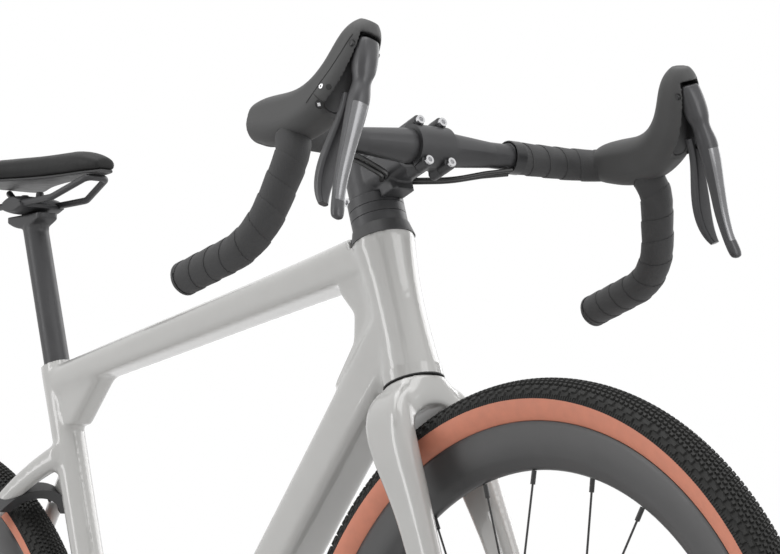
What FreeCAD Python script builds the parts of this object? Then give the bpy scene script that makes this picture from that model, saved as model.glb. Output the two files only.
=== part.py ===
import FreeCAD, Part
import math
import operator
import os
from types import SimpleNamespace

import Sketcher
from FreeCAD import Placement, Rotation, Vector

# A gravel bike. X points forward, Y to the rider's left and Z up; the origin lies on the ground, midway
# between the two axles. Every size is in millimetres, every angle in degrees.
SIZES = {
    # wheels and where they stand
    "wheel_base": 1034.0, "tyre_outer_radius": 352.0, "tyre_width": 42.0, "tyre_wall": 3.0,
    "bead_width": 3.0, "rim_outer_radius": 314.0, "rim_depth": 42.0, "rim_width": 25.0, "rim_hook": 2.0,
    "rim_bed_depth": 5.0, "rim_nose_width": 12.0, "spoke_count": 24.0, "spoke_radius": 1.0,
    "nipple_radius": 2.2, "nipple_length": 12.0, "hub_flange_radius": 24.0, "spoke_hole_radius": 21.0,
    "hub_flange_thickness": 2.4, "hub_body_radius": 14.0, "front_hub_width": 100.0,
    "rear_hub_width": 142.0, "axle_radius": 6.0, "axle_head_radius": 9.0, "axle_head_length": 4.0,
    "hub_end_radius": 10.0, "freehub_radius": 8.9, "front_flange_left": 21.0, "front_flange_right": 33.0,
    "rear_flange_left": 33.0, "rear_flange_right": 19.0, "rotor_radius": 80.0, "rotor_thickness": 1.8,
    "rotor_track": 14.0, "rotor_bore_radius": 15.0, "front_rotor_offset": 40.0, "rear_rotor_offset": 54.0,
    # fits
    "running_fit": 0.05, "joint_gap": 0.3,
    # head tube, fork and steering
    "head_angle": 71.9, "fork_offset": 47.6, "axle_to_head_tube": 392.0, "head_tube_length": 140.0,
    "head_lower_radius": 28.5, "head_waist_radius": 25.5, "head_upper_radius": 30.0,
    "head_bore_radius": 22.0, "bearing_radius": 26.0, "bearing_height": 7.0, "seal_thickness": 1.2,
    "steerer_radius": 14.3, "steerer_lower_radius": 19.0, "steerer_bore_radius": 11.9,
    "fork_crown_height": 44.0, "fork_crown_width": 105.0, "fork_leg_depth": 46.0, "fork_leg_width": 25.0,
    "fork_tip_depth": 25.0, "fork_tip_width": 13.0, "tyre_room": 7.0, "crown_room": 11.0, "dropout_radius": 15.0,
    "front_dropout_thickness": 12.0,
    # cockpit
    "cover_height": 11.0, "spacer_height": 9.5, "spacer_count": 3.0, "spacer_radius": 26.0,
    "stem_clamp_height": 40.0, "stem_clamp_radius": 23.0, "stem_reach": 84.6, "stem_drop": 5.0,
    "stem_body_width": 40.0, "stem_body_height": 36.0, "bar_clamp_radius": 15.9, "bar_clamp_width": 40.0,
    "bar_clamp_wall": 4.5, "bar_grip_radius": 12.0, "bar_half_width": 200.0, "bar_bulge_half_width": 27.0,
    "bar_taper_half_width": 74.0, "bar_flare": 16.0, "bar_corner_radius": 40.0, "bar_hook_radius": 32.0,
    "bar_drop_radius": 62.0, "bar_reach": 88.0, "bar_ramp_drop": 8.0, "bar_drop_reach": 58.0,
    "bar_drop": 112.0, "bar_end_reach": 38.0, "bar_end_drop": 136.0, "tape_thickness": 3.3,
    "tape_start": 96.0, "plug_radius": 15.3, "plug_length": 5.0, "plug_stem_radius": 9.6,
    "plug_stem_length": 18.0, "faceplate_bolt_spread": 12.9, "faceplate_bolt_rise": 20.1,
    "bolt_radius": 2.5, "bolt_head_radius": 4.2, "bolt_head_length": 4.0,
    # levers
    "hood_wall": 3.0, "lever_pivot_reach": 148.0, "lever_pivot_rise": 50.0, "lever_pin_radius": 2.5,
    "lever_slot_width": 22.0, "lever_travel": 13.0, "paddle_pin_radius": 2.4,
    "paddle_pivot_rise": 2.0, "paddle_pivot_reach": 137.0, "hose_radius": 2.5, "cable_radius": 2.0,
    # seat
    "seat_angle": 73.2, "seat_tube_radius": 17.0, "seat_tube_top": 513.0, "post_radius": 13.6,
    "post_bore_depth": 215.0, "post_insertion": 190.0, "post_top": 672.0, "wedge_width": 14.0,
    "wedge_depth": 11.0, "wedge_height": 34.0, "rail_radius": 3.6, "rail_spread": 22.0,
    "rail_height": 941.0, "saddle_nose": -157.0, "saddle_length": 268.0, "saddle_width": 145.0,
    "saddle_height": 995.0, "saddle_shell_thickness": 3.0,
    # frame
    "bottom_bracket_drop": 77.0, "chainstay_length": 425.0, "bracket_shell_radius": 24.0,
    "bracket_shell_width": 73.0, "bracket_bore_radius": 18.0, "top_tube_width": 40.0,
    "top_tube_height": 35.0, "down_tube_width": 50.0, "down_tube_height": 51.0, "stay_width": 16.0,
    "stay_height": 20.0, "rear_dropout_thickness": 8.0, "bridge_thickness": 11.0, "bridge_depth": 14.0,
    "boss_spacing": 64.0, "boss_bolt_radius": 2.5, "seat_gusset_width": 27.0, "head_gusset_width": 38.0,
    "gusset_edge": 7.0,
    # drive
    "chain_pitch": 12.7, "chain_line": 50.4, "chainring_teeth": 46.0, "small_ring_teeth": 30.0,
    "ring_spacing": 7.5, "ring_thickness": 1.8, "cog_spacing": 3.9, "cog_thickness": 1.8,
    "cog_place": 4.0, "pulley_teeth": 11.0, "crank_length": 172.5, "spindle_radius": 14.5,
    "crank_boss_radius": 20.0, "crank_arm_thickness": 13.0, "crank_arm_offset": 60.0,
    "pedal_eye_radius": 13.0, "pedal_axle_radius": 5.5, "pedal_length": 62.0, "pedal_width": 92.0,
    "pedal_height": 16.0, "bolt_circle_radius": 55.0, "cup_flange": 3.0, "guide_pulley_x": -503.0,
    "guide_pulley_z": 242.0, "cage_length": 78.0, "cage_angle": 67.124, "hanger_drop": 28.0,
    "hanger_setback": 9.0, "link_length": 58.0, "link_slope": 52.0, "knuckle_radius": 8.0,
    "link_pin_inset": 13.0, "link_pin_radius": 2.0, "link_cheek": 3.0, "chain_inner_half": 1.1,
    "chain_plate": 0.75, "chain_plate_radius": 4.2, "roller_radius": 3.8, "chain_pin_radius": 1.8,
    "small_bolt_circle_radius": 40.0, "ring_bolt_radius": 4.0, "cassette_sleeve_radius": 16.0,
    "hanger_thickness": 4.7,
}
COG_TEETH = (11, 12, 13, 14, 15, 17, 19, 21, 24, 28, 34)
OPERATIONS = {"+": operator.add, "-": operator.sub, "*": operator.mul, "/": operator.truediv}
UP = Vector(0, 0, 1)
FORWARD = Vector(1, 0, 0)
LEFT = Vector(0, 1, 0)
ORIGIN = Vector(0, 0, 0)

doc = FreeCAD.newDocument("gravel_bike")
sheet = doc.addObject("Spreadsheet::Sheet", "Sizes")
nodes = {}


class Size:
    """A size that remembers the sheet expression it came from."""

    def __init__(self, value, text):
        self.value = float(value)
        self.text = text

    def __float__(self):
        return self.value

    def __add__(self, other):
        return joined(self, other, "+")

    def __radd__(self, other):
        return joined(other, self, "+")

    def __sub__(self, other):
        return joined(self, other, "-")

    def __rsub__(self, other):
        return joined(other, self, "-")

    def __mul__(self, other):
        return joined(self, other, "*")

    def __rmul__(self, other):
        return joined(other, self, "*")

    def __truediv__(self, other):
        return joined(self, other, "/")

    def __neg__(self):
        return joined(0.0, self, "-")


def text_of(size):
    """The expression of a size, or the plain number."""
    return size.text if isinstance(size, Size) else repr(float(size))


def joined(first, second, sign):
    """Two sizes put together, as a value and as an expression."""
    value = OPERATIONS[sign](float(first), float(second))
    return Size(value, "(" + text_of(first) + " " + sign + " " + text_of(second) + ")")


def fill_sheet():
    """Writes the driving sizes to the sheet and gives them back by name."""
    for row, (alias, value) in enumerate(SIZES.items(), start=1):
        sheet.set("A%d" % row, alias)
        sheet.set("B%d" % row, str(value))
        sheet.setAlias("B%d" % row, alias)
    doc.recompute()
    return SimpleNamespace(**{alias: Size(value, "Sizes." + alias) for alias, value in SIZES.items()})


d = fill_sheet()


def bind(thing, name, size):
    """Sets a property and ties it to the sheet."""
    setattr(thing, name, float(size))
    if isinstance(size, Size):
        thing.setExpression(name, size.text)


def keep(thing, label):
    """Names a document object as one piece of the bike."""
    thing.Label = label
    nodes[label] = thing
    return thing


def sine(angle):
    return math.sin(math.radians(float(angle)))


def cosine(angle):
    return math.cos(math.radians(float(angle)))


# Main points of the geometry
FRONT_AXLE = Vector(float(d.wheel_base) / 2, 0, float(d.tyre_outer_radius))
REAR_AXLE = Vector(-float(d.wheel_base) / 2, 0, float(d.tyre_outer_radius))
STEER_UP = Vector(-cosine(d.head_angle), 0, sine(d.head_angle))
STEER_AHEAD = Vector(sine(d.head_angle), 0, cosine(d.head_angle))
STEER_FOOT = FRONT_AXLE - STEER_AHEAD * float(d.fork_offset)
HEAD_LOW = float(d.axle_to_head_tube)
HEAD_HIGH = float(d.axle_to_head_tube + d.head_tube_length)
STAY_RUN = math.sqrt(float(d.chainstay_length) ** 2 - float(d.bottom_bracket_drop) ** 2)
BRACKET = REAR_AXLE + Vector(STAY_RUN, 0, -float(d.bottom_bracket_drop))
SEAT_UP = Vector(-cosine(d.seat_angle), 0, sine(d.seat_angle))
SEAT_AHEAD = Vector(sine(d.seat_angle), 0, cosine(d.seat_angle))
COVER_TOP = HEAD_HIGH + float(d.seal_thickness + d.cover_height)
STEM_FOOT = COVER_TOP + float(d.joint_gap + d.spacer_height * d.spacer_count)
STEM_TOP = STEM_FOOT + float(d.stem_clamp_height)
BAR_RISE = (STEM_FOOT + STEM_TOP) / 2 - float(d.stem_drop)


def steer_point(along, ahead, side=0.0):
    """A point of the steered parts: along the steering axis, ahead of it and to the left."""
    return STEER_FOOT + STEER_UP * along + STEER_AHEAD * ahead + LEFT * side


def seat_point(along, ahead=0.0, side=0.0):
    """A point of the seat tube line, measured from the bottom bracket."""
    return BRACKET + SEAT_UP * along + SEAT_AHEAD * ahead + LEFT * side


BAR = steer_point(BAR_RISE, float(d.stem_reach))
# The side frame of the right hand control: forward, up the flared plane, and outwards.
SIDE_UP = Vector(0, sine(d.bar_flare), cosine(d.bar_flare))
SIDE_OUT = FORWARD.cross(SIDE_UP)
SIDE_BASE = BAR - LEFT * float(d.bar_half_width)


def side_point(ahead, rise, out=0.0):
    """A point of the right hand bar end and its lever."""
    return SIDE_BASE + FORWARD * ahead + SIDE_UP * rise + SIDE_OUT * out


def along(base, axis):
    """A placement whose Z axis lies along the given direction."""
    return Placement(base, Rotation(UP, axis))


def across(base):
    """A placement whose Z axis points to the left, for what turns on a cross axle."""
    return along(base, LEFT)


# Sketched pieces
def new_sketch(body, role, name):
    """A sketch on one of the body's own origin planes."""
    plane = [item for item in body.Origin.OriginFeatures if item.Role == role][0]
    sketch = body.newObject("Sketcher::SketchObject", name)
    sketch.AttachmentSupport = [(plane, "")]
    sketch.MapMode = "FlatFace"
    return sketch


def draw_outline(sketch, points):
    """Draws a closed outline whose corners are tied to the sheet."""
    start = sketch.GeometryCount
    corners = [Vector(float(x), float(y), 0) for x, y in points]
    count = len(corners)
    for i, corner in enumerate(corners):
        sketch.addGeometry(Part.LineSegment(corner, corners[(i + 1) % count]), False)
    for i in range(count):
        sketch.addConstraint(Sketcher.Constraint("Coincident", start + i, 2, start + (i + 1) % count, 1))
    for i, point in enumerate(points):
        for kind, size in zip(("DistanceX", "DistanceY"), point):
            index = sketch.addConstraint(Sketcher.Constraint(kind, -1, 1, start + i, 1, float(size)))
            if isinstance(size, Size):
                sketch.setExpression("Constraints[%d]" % index, size.text)


def draw_circle(sketch, x, y, radius):
    """Draws a circle whose radius and centre are tied to the sheet."""
    index = sketch.addGeometry(Part.Circle(Vector(float(x), float(y), 0), UP, float(radius)), False)
    rows = (("DistanceX", (-1, 1, index, 3), x), ("DistanceY", (-1, 1, index, 3), y),
            ("Radius", (index,), radius))
    for kind, refs, size in rows:
        row = sketch.addConstraint(Sketcher.Constraint(kind, *refs, float(size)))
        if isinstance(size, Size):
            sketch.setExpression("Constraints[%d]" % row, size.text)


def turned(name, outline, place):
    """A lathe piece: its half section (radius, along) turned about the body's Z axis."""
    body = doc.addObject("PartDesign::Body", name)
    sketch = new_sketch(body, "XZ_Plane", name + "_section")
    draw_outline(sketch, outline)
    turn = body.newObject("PartDesign::Revolution", name + "_turn")
    turn.Profile = sketch
    turn.ReferenceAxis = (sketch, ["V_Axis"])
    turn.Angle = 360
    body.Placement = place
    return body


def plate(name, outline, thickness, place, holes=()):
    """A flat piece: its outline, with round holes, padded along the body's Z axis."""
    body = doc.addObject("PartDesign::Body", name)
    sketch = new_sketch(body, "XY_Plane", name + "_outline")
    draw_outline(sketch, outline)
    for x, y, radius in holes:
        draw_circle(sketch, x, y, radius)
    pad = body.newObject("PartDesign::Pad", name + "_pad")
    pad.Profile = sketch
    bind(pad, "Length", thickness)
    body.Placement = place
    return body


def bolt_body(name, shank_length, shank=d.bolt_radius, head=d.bolt_head_radius,
              head_length=d.bolt_head_length):
    """A socket head bolt: the head's top at Z of head_length, the shank below the origin."""
    socket = head * 0.55
    outline = ((0.0, -shank_length), (shank, -shank_length), (shank, 0.0), (head, 0.0), (head, head_length),
               (socket, head_length), (socket, head_length * 0.45), (0.0, head_length * 0.45))
    return turned(name, outline, Placement())


def finish(label, shape):
    """Stores a worked shape as a piece of the bike."""
    piece = doc.addObject("Part::Feature", label)
    piece.Shape = shape
    return keep(piece, label)


def mirrored(label, source):
    """The left hand copy of a right hand piece."""
    copy = doc.addObject("Part::Mirroring", label)
    copy.Source = source
    copy.Base = ORIGIN
    copy.Normal = LEFT
    return keep(copy, label)


def repeated(label, source, places):
    """Copies of one piece at several places, kept together as a group of separate solids."""
    doc.recompute()
    shapes = []
    for place in places:
        shape = source.Shape.copy()
        shape.Placement = place
        shapes.append(shape)
    return finish(label, Part.Compound(shapes))


# Lofted and swept forms
def flip_left(shape):
    """The mirror image of a right hand shape."""
    return shape.mirror(ORIGIN, LEFT)


def section(centre, wide, tall, width, height, upper, lower):
    """A rounded section of a width and a height, with its own corner radius above and below."""
    half_w, half_h = float(width) / 2, float(height) / 2
    edges = []
    spots = []
    bend = math.sqrt(0.5)
    for x_sign, y_sign, radius in ((1, 1, upper), (-1, 1, upper), (-1, -1, lower), (1, -1, lower)):
        radius = min(float(radius), 0.49 * float(width), 0.49 * float(height))
        middle = (x_sign * (half_w - radius), y_sign * (half_h - radius))
        beside = (x_sign * half_w, middle[1])
        above = (middle[0], y_sign * half_h)
        corner = (middle[0] + x_sign * bend * radius, middle[1] + y_sign * bend * radius)
        spots.append((beside, corner, above) if x_sign * y_sign > 0 else (above, corner, beside))
    spots = [[centre + wide * x + tall * y for x, y in trio] for trio in spots]
    for i, (first, middle, last) in enumerate(spots):
        edges.append(Part.Arc(first, middle, last).toShape())
        edges.append(Part.LineSegment(last, spots[(i + 1) % 4][0]).toShape())
    return Part.Wire(edges)


def tube_section(centre, heading, width, height, upper, lower, reference=UP):
    """A rounded section square to a tube's heading; height points the way of the reference direction."""
    heading = Vector(heading).normalize()
    tall = (reference - heading * reference.dot(heading)).normalize()
    wide = tall.cross(heading).normalize()
    return section(centre, wide, tall, width, height, upper, lower)


def ring_wire(centre, axis, radius):
    return Part.Wire(Part.makeCircle(float(radius), centre, axis))


def loft(wires):
    """A smooth solid through closed sections."""
    return Part.makeLoft(wires, True, False)


def rounded_path(points, radii):
    """A wire of straight runs joined by tangent arcs, and its length."""
    edges = []
    start = points[0]
    for i in range(1, len(points) - 1):
        before = (points[i - 1] - points[i]).normalize()
        after = (points[i + 1] - points[i]).normalize()
        half = before.getAngle(after) / 2
        reach = radii[i - 1] / math.tan(half)
        first, last = points[i] + before * reach, points[i] + after * reach
        inward = (before + after).normalize()
        middle = points[i] + inward * (radii[i - 1] / math.sin(half) - radii[i - 1])
        edges.append(Part.LineSegment(start, first).toShape())
        edges.append(Part.Arc(first, middle, last).toShape())
        start = last
    edges.append(Part.LineSegment(start, points[-1]).toShape())
    return Part.Wire(edges)


def pipe(path, radius):
    """A round bar along a wire."""
    first = path.Edges[0]
    heading = first.tangentAt(first.FirstParameter)
    profile = ring_wire(first.valueAt(first.FirstParameter), heading, radius)
    return path.makePipeShell([profile], True, False)


def rod(base, axis, radius, length):
    return Part.makeCylinder(float(radius), float(length), base, axis)


def cross_rod(centre, radius, half_length):
    """A cylinder along Y, centred on a point."""
    return rod(centre - LEFT * float(half_length), LEFT, radius, 2 * float(half_length))


def fused(shapes):
    """One solid out of several that overlap."""
    return shapes[0].multiFuse(list(shapes[1:])).removeSplitter()


# Frame
def bezier(first, control, last, t):
    """A point of a curve that leaves first towards control and ends at last."""
    return first * (1 - t) ** 2 + control * (2 * t * (1 - t)) + last * t ** 2


def curved_tube(first, control, last, sizes):
    """A tapering tube along a bent line; sizes gives (place, width, height) along it."""
    wires = []
    for t, width, height in sizes:
        heading = (control - first) * (1 - t) + (last - control) * t
        wires.append(tube_section(bezier(first, control, last, t), heading, width, height, 7.0, 7.0))
    return loft(wires)


def straight_tube(first, last, sizes, upper, lower):
    """A tapering tube along a straight line; sizes gives (place, width, height) along it."""
    heading = last - first
    wires = [tube_section(first + heading * t, heading, width, height, upper, lower)
             for t, width, height in sizes]
    return loft(wires)


TOP_TUBE_START = steer_point(HEAD_HIGH - 9.0, -4.0)
TOP_TUBE_END = seat_point(float(d.seat_tube_top) - 16.0)
DOWN_TUBE_START = steer_point(HEAD_LOW + 51.0, 0.0)
SEAT_STAY_TOP = seat_point(414.0, -2.0, -12.0)
REAR_TIP_SIDE = float(d.rear_hub_width / 2 + d.rear_dropout_thickness / 2)


def main_tubes():
    """Head tube, top tube, down tube, seat tube and bottom bracket shell."""
    length = float(d.head_tube_length)
    rings = ((0.0, d.head_lower_radius), (0.3, d.head_waist_radius), (0.7, d.head_waist_radius),
             (1.0, d.head_upper_radius))
    head = loft([ring_wire(steer_point(HEAD_LOW + t * length, 0), STEER_UP, r) for t, r in rings])
    width, height = float(d.top_tube_width), float(d.top_tube_height)
    top = straight_tube(TOP_TUBE_START, TOP_TUBE_END, (
        (0.0, width + 8, height + 7), (0.25, width + 2, height + 2), (0.6, width - 2, height - 1),
        (1.0, width - 7, height - 6)), 14.0, 6.0)
    width, height = float(d.down_tube_width), float(d.down_tube_height)
    down = straight_tube(DOWN_TUBE_START, BRACKET, (
        (0.0, width - 2, height + 9), (0.25, width, height + 1), (0.6, width, height),
        (1.0, width + 12, height - 7)), 18.0, 10.0)
    radius = float(d.seat_tube_radius)
    seat_rings = ((0.0, radius + 3), (0.3, radius), (0.7, radius), (1.0, radius + 1))
    seat_length = float(d.seat_tube_top)
    seat = loft([ring_wire(seat_point(t * seat_length), SEAT_UP, r) for t, r in seat_rings])
    shell = cross_rod(BRACKET, d.bracket_shell_radius, d.bracket_shell_width / 2)
    return [head, top, down, seat, shell]


SEAT_GUSSET = (
    # corners (x, z) of the web under the top tube; the first run is its free edge
    (-196.0, 702.0), (-150.0, 749.0), (-150.0, 765.0), (-228.0, 765.0), (-212.0, 702.0),
)
HEAD_GUSSET = (
    # corners (x, z) of the web between top tube, head tube and down tube; the first runs are its free edge
    (250.0, 712.0), (281.0, 752.0), (282.0, 776.0), (262.0, 795.0), (262.0, 812.0), (318.0, 812.0),
    (336.0, 756.0), (300.0, 712.0),
)


def gusset(corners, width, free_edges):
    """A moulded web in the frame's middle plane, rounded along its free edges."""
    half = float(width) / 2
    points = [Vector(x, -half, z) for x, z in corners]
    web_face = Part.Face(Part.makePolygon(points + points[:1]))
    block = web_face.extrude(LEFT * (2 * half))
    rims = []
    for first, last in zip(corners[:free_edges], corners[1:free_edges + 1]):
        middle = Vector((first[0] + last[0]) / 2, 0, (first[1] + last[1]) / 2)
        rims += [edge for edge in block.Edges if abs(abs(edge.CenterOfMass.y) - half) < 0.01
                 and (edge.CenterOfMass - middle - LEFT * edge.CenterOfMass.y).Length < 0.01]
    return block.makeFillet(float(d.gusset_edge), rims)


def right_stays():
    """The right hand seat stay, chain stay and dropout."""
    width, height = float(d.stay_width), float(d.stay_height)
    tip = REAR_AXLE + Vector(10, -REAR_TIP_SIDE, 14)
    seat_stay = curved_tube(SEAT_STAY_TOP, Vector(-330, (SEAT_STAY_TOP.y + tip.y) / 2, 640), tip, (
        (0.0, width + 5, height + 5), (0.3, width, height), (0.6, width - 2, height - 2),
        (1.0, width - 8, height)))
    foot = REAR_AXLE + Vector(16, -REAR_TIP_SIDE, -2)
    root = BRACKET + Vector(-14, -26, 3)
    chain_stay = curved_tube(root, (root + foot) / 2 + Vector(20, 0, -12), foot, (
        (0.0, width + 4, height + 12), (0.3, width, height + 4), (0.65, width - 2, height + 1),
        (1.0, width - 8, height + 4)))
    dropout = cross_rod(REAR_AXLE - LEFT * REAR_TIP_SIDE, d.dropout_radius + 2, d.rear_dropout_thickness / 2)
    return [seat_stay, chain_stay, dropout]


def boss_holes():
    """Two threaded holes on the down tube and two on the seat tube, for bottle cages."""
    holes = []
    radius = d.boss_bolt_radius
    heading = (BRACKET - DOWN_TUBE_START).normalize()
    upward = (UP - heading * UP.dot(heading)).normalize()
    half = float(d.boss_spacing) / 2
    for shift in (-half, half):
        centre = (DOWN_TUBE_START + BRACKET) / 2 + heading * shift
        holes.append(rod(centre, upward, radius, float(d.down_tube_height)))
        holes.append(rod(seat_point(250.0 + shift), SEAT_AHEAD, radius, float(d.seat_tube_radius) + 8))
    return holes


def wedge_block(extra):
    """The space of the wedge that grips the seat post, in front of the post."""
    depth = float(d.wedge_depth) + extra
    half = float(d.wedge_width) / 2 + extra
    height = float(d.wedge_height) + 2 * extra
    low = float(d.seat_tube_top) - 6.0 - height
    front = float(d.post_radius) - 3.0
    base = seat_point(low, front, -half)
    block = Part.makeBox(depth + 3.0, 2 * half, height)
    block.Placement = Placement(base, Rotation(SEAT_AHEAD, LEFT, SEAT_UP, "XYZ"))
    return block


def make_frame():
    """The moulded frame, with its bearing seats, bores and threaded holes."""
    right = right_stays()
    webs = [gusset(SEAT_GUSSET, d.seat_gusset_width, 1), gusset(HEAD_GUSSET, d.head_gusset_width, 3)]
    body = fused(main_tubes() + webs + right + [flip_left(shape) for shape in right])
    fit = d.running_fit
    seat_depth = d.bearing_height + 1.0
    half_shell = float(d.bracket_shell_width) / 2
    outside = float(d.rear_hub_width / 2 + d.rear_dropout_thickness)
    cuts = [
        rod(steer_point(HEAD_HIGH, 0), STEER_UP, d.head_upper_radius + 1.0, 60.0),
        rod(steer_point(HEAD_LOW - 5, 0), STEER_UP, d.head_bore_radius, d.head_tube_length + 10),
        rod(steer_point(HEAD_LOW - 5, 0), STEER_UP, d.bearing_radius + 0.0, seat_depth + 5),
        rod(steer_point(HEAD_HIGH - float(seat_depth), 0), STEER_UP, d.bearing_radius + 0.0, seat_depth + 5),
        rod(steer_point(HEAD_LOW - 40, 0), STEER_UP, d.head_lower_radius + 12.0, 40.0),
        rod(seat_point(float(d.seat_tube_top - d.post_bore_depth)), SEAT_UP, d.post_radius + fit, 300.0),
        rod(seat_point(float(d.seat_tube_top)), SEAT_UP, d.seat_tube_radius + 2.0, 40.0),
        cross_rod(BRACKET, d.bracket_bore_radius, d.bracket_shell_width),
        rod(BRACKET + LEFT * half_shell, LEFT, d.bracket_shell_radius + 1.0, 30.0),
        rod(BRACKET - LEFT * half_shell, -LEFT, d.bracket_shell_radius + 1.0, 30.0),
        cross_rod(REAR_AXLE, d.axle_radius + fit, d.rear_hub_width),
        cross_rod(REAR_AXLE, d.hub_flange_radius + 2.0, d.rear_hub_width / 2),
        rod(REAR_AXLE + LEFT * outside, LEFT, d.dropout_radius + 10.0, 20.0),
        rod(REAR_AXLE - LEFT * outside, -LEFT, d.dropout_radius + 30.0, 20.0),
        wedge_block(0.15),
    ]
    return finish("frame", body.cut(Part.Compound(cuts + boss_holes())))


def make_frame_details(frame):
    """The bolted bridge over the rear tyre, its bolts and the seat post wedge."""
    outward = Vector(cosine(50), 0, sine(50))
    middle = REAR_AXLE + outward * float(d.tyre_outer_radius - d.tyre_width / 2)
    tangent = outward.cross(LEFT)
    inner = float(d.tyre_width / 2 + d.tyre_room * 2)
    outer = inner + float(d.bridge_thickness)
    depth = float(d.bridge_depth)
    base = middle - tangent * (depth / 2)
    ring = rod(base, tangent, outer, depth).cut(rod(base, tangent, inner, depth))
    low = Part.makeBox(4 * outer, 4 * outer, 4 * depth)
    low.Placement = Placement(middle + outward * (0.45 * inner) - LEFT * (2 * outer) - tangent * (2 * depth)
                              - outward * (4 * outer), Rotation(outward, LEFT, tangent, "XYZ"))
    bridge = ring.cut(low).cut(frame.Shape)
    bridge = sorted(bridge.Solids, key=lambda item: item.Volume)[-1]
    bolt_length = 13.0
    bolt = bolt_body("bridge_bolt", bolt_length)
    rise = inner - 5.0
    reach = math.sqrt(inner ** 2 - rise ** 2)
    places, holes, heads = [], [], []
    for side in (-1, 1):
        foot = middle + outward * rise + LEFT * (side * (reach + 1.5))
        places.append(along(foot, LEFT * -side))
        holes.append(rod(foot, LEFT * side, d.bolt_radius, bolt_length))
        heads.append(rod(foot, LEFT * -side, d.bolt_head_radius, 12.0))
    frame.Shape = frame.Shape.cut(Part.Compound(holes))
    finish("stay_bridge", bridge.cut(Part.Compound(holes + heads)))
    repeated("bridge_bolts", bolt, places)
    wedge = wedge_block(0.0).cut(rod(seat_point(0), SEAT_UP, d.post_radius + d.running_fit, 900.0))
    finish("seat_clamp_wedge", wedge)


def make_headset():
    """Bearings and seals in the frame, and the cover whose tail lies on the top tube."""
    fit = float(d.running_fit)
    height = d.bearing_height
    lower = turned("lower_bearing", (
        (d.steerer_lower_radius + fit, 0.0), (d.bearing_radius, 0.0), (d.bearing_radius, height),
        (d.steerer_lower_radius + fit, height)), along(steer_point(HEAD_LOW + 1.0, 0), STEER_UP))
    upper = turned("upper_bearing", (
        (d.steerer_radius + fit, 0.0), (d.bearing_radius, 0.0), (d.bearing_radius, height),
        (d.steerer_radius + fit, height)), along(steer_point(HEAD_HIGH - 1.0 - float(height), 0), STEER_UP))
    seal = turned("lower_seal", (
        (d.steerer_lower_radius + fit, 0.0), (d.head_lower_radius, 0.0),
        (d.head_lower_radius, d.seal_thickness),
        (d.bearing_radius, d.seal_thickness), (d.bearing_radius, d.seal_thickness + 1.0),
        (d.steerer_lower_radius + fit, d.seal_thickness + 1.0)),
        along(steer_point(HEAD_LOW - float(d.seal_thickness), 0), STEER_UP))
    cups = turned("bracket_cup", (
        (d.spindle_radius + fit, 0.0), (d.bracket_bore_radius, 0.0), (d.bracket_bore_radius, 14.0),
        (d.bracket_shell_radius - 1.0, 14.0), (d.bracket_shell_radius - 1.0, d.cup_flange + 14.0),
        (d.spindle_radius + fit, d.cup_flange + 14.0)), Placement())
    doc.recompute()
    start = float(d.bracket_shell_width) / 2 - 14.0
    shapes = [lower.Shape, upper.Shape, seal.Shape]
    for side in (-1, 1):
        cup = cups.Shape.copy()
        cup.Placement = along(BRACKET + LEFT * (side * start), LEFT * side)
        shapes.append(cup)
    finish("frame_bearings", Part.Compound(shapes))


def make_headset_cover(frame):
    """The cover over the upper bearing; its tail runs back along the top tube."""
    base = steer_point(HEAD_HIGH, 0)
    height = float(d.seal_thickness + d.cover_height)
    cone = Part.makeCone(float(d.head_upper_radius), float(d.spacer_radius) + 1.0, height, base, STEER_UP)
    heading = TOP_TUBE_END - TOP_TUBE_START
    tail_root = steer_point(HEAD_HIGH + 6.0, -14.0)
    tail_tip = tail_root + Vector(heading).normalize() * 34.0 + UP * 2.0
    tail = loft([tube_section(tail_root, heading, 40.0, 14.0, 6.0, 3.0),
                 tube_section(tail_tip, heading, 20.0, 5.0, 2.0, 1.0)])
    cover = cone.fuse(tail)
    cover = cover.cut(rod(base, STEER_UP, d.steerer_radius + d.joint_gap * 2, 80.0))
    top = rod(steer_point(HEAD_HIGH + height, 0), STEER_UP, 80.0, 60.0)
    finish("headset_cover", cover.cut(top).cut(frame.Shape).removeSplitter())


# Fork and what sits on its steerer
def right_leg():
    """The right hand fork leg and its dropout."""
    rows = (
        (HEAD_LOW - 12.0, 0.0, 22.0, d.fork_leg_width - 5.0, d.fork_leg_depth - 4.0),
        (HEAD_LOW - 41.0, 3.0, 39.5, d.fork_leg_width + 1.0, d.fork_leg_depth + 4.0),
        (HEAD_LOW * 0.76, 9.5, 43.0, d.fork_leg_width - 1.0, d.fork_leg_depth - 2.0),
        (HEAD_LOW * 0.64, 15.5, 44.5, d.fork_leg_width - 4.0, d.fork_leg_depth - 8.0),
        (HEAD_LOW * 0.42, 22.5, 47.5, d.fork_leg_width - 6.0, d.fork_leg_depth - 12.0),
        (HEAD_LOW * 0.22, 29.5, 51.0, d.fork_leg_width - 8.0, d.fork_leg_depth - 15.0),
        (0.0, float(d.fork_offset), 56.0, d.fork_tip_width, d.fork_tip_depth),
    )
    points = [steer_point(row[0], row[1], -row[2]) for row in rows]
    wires = []
    for i, (row, point) in enumerate(zip(rows, points)):
        heading = points[min(i + 1, len(points) - 1)] - points[max(i - 1, 0)]
        wires.append(tube_section(point, heading, row[3], row[4], 11.0, 9.0, FORWARD))
    half = d.front_dropout_thickness / 2
    tip = cross_rod(FRONT_AXLE - LEFT * float(d.front_hub_width / 2 + half), d.dropout_radius, half)
    return [loft(wires), tip]


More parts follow.
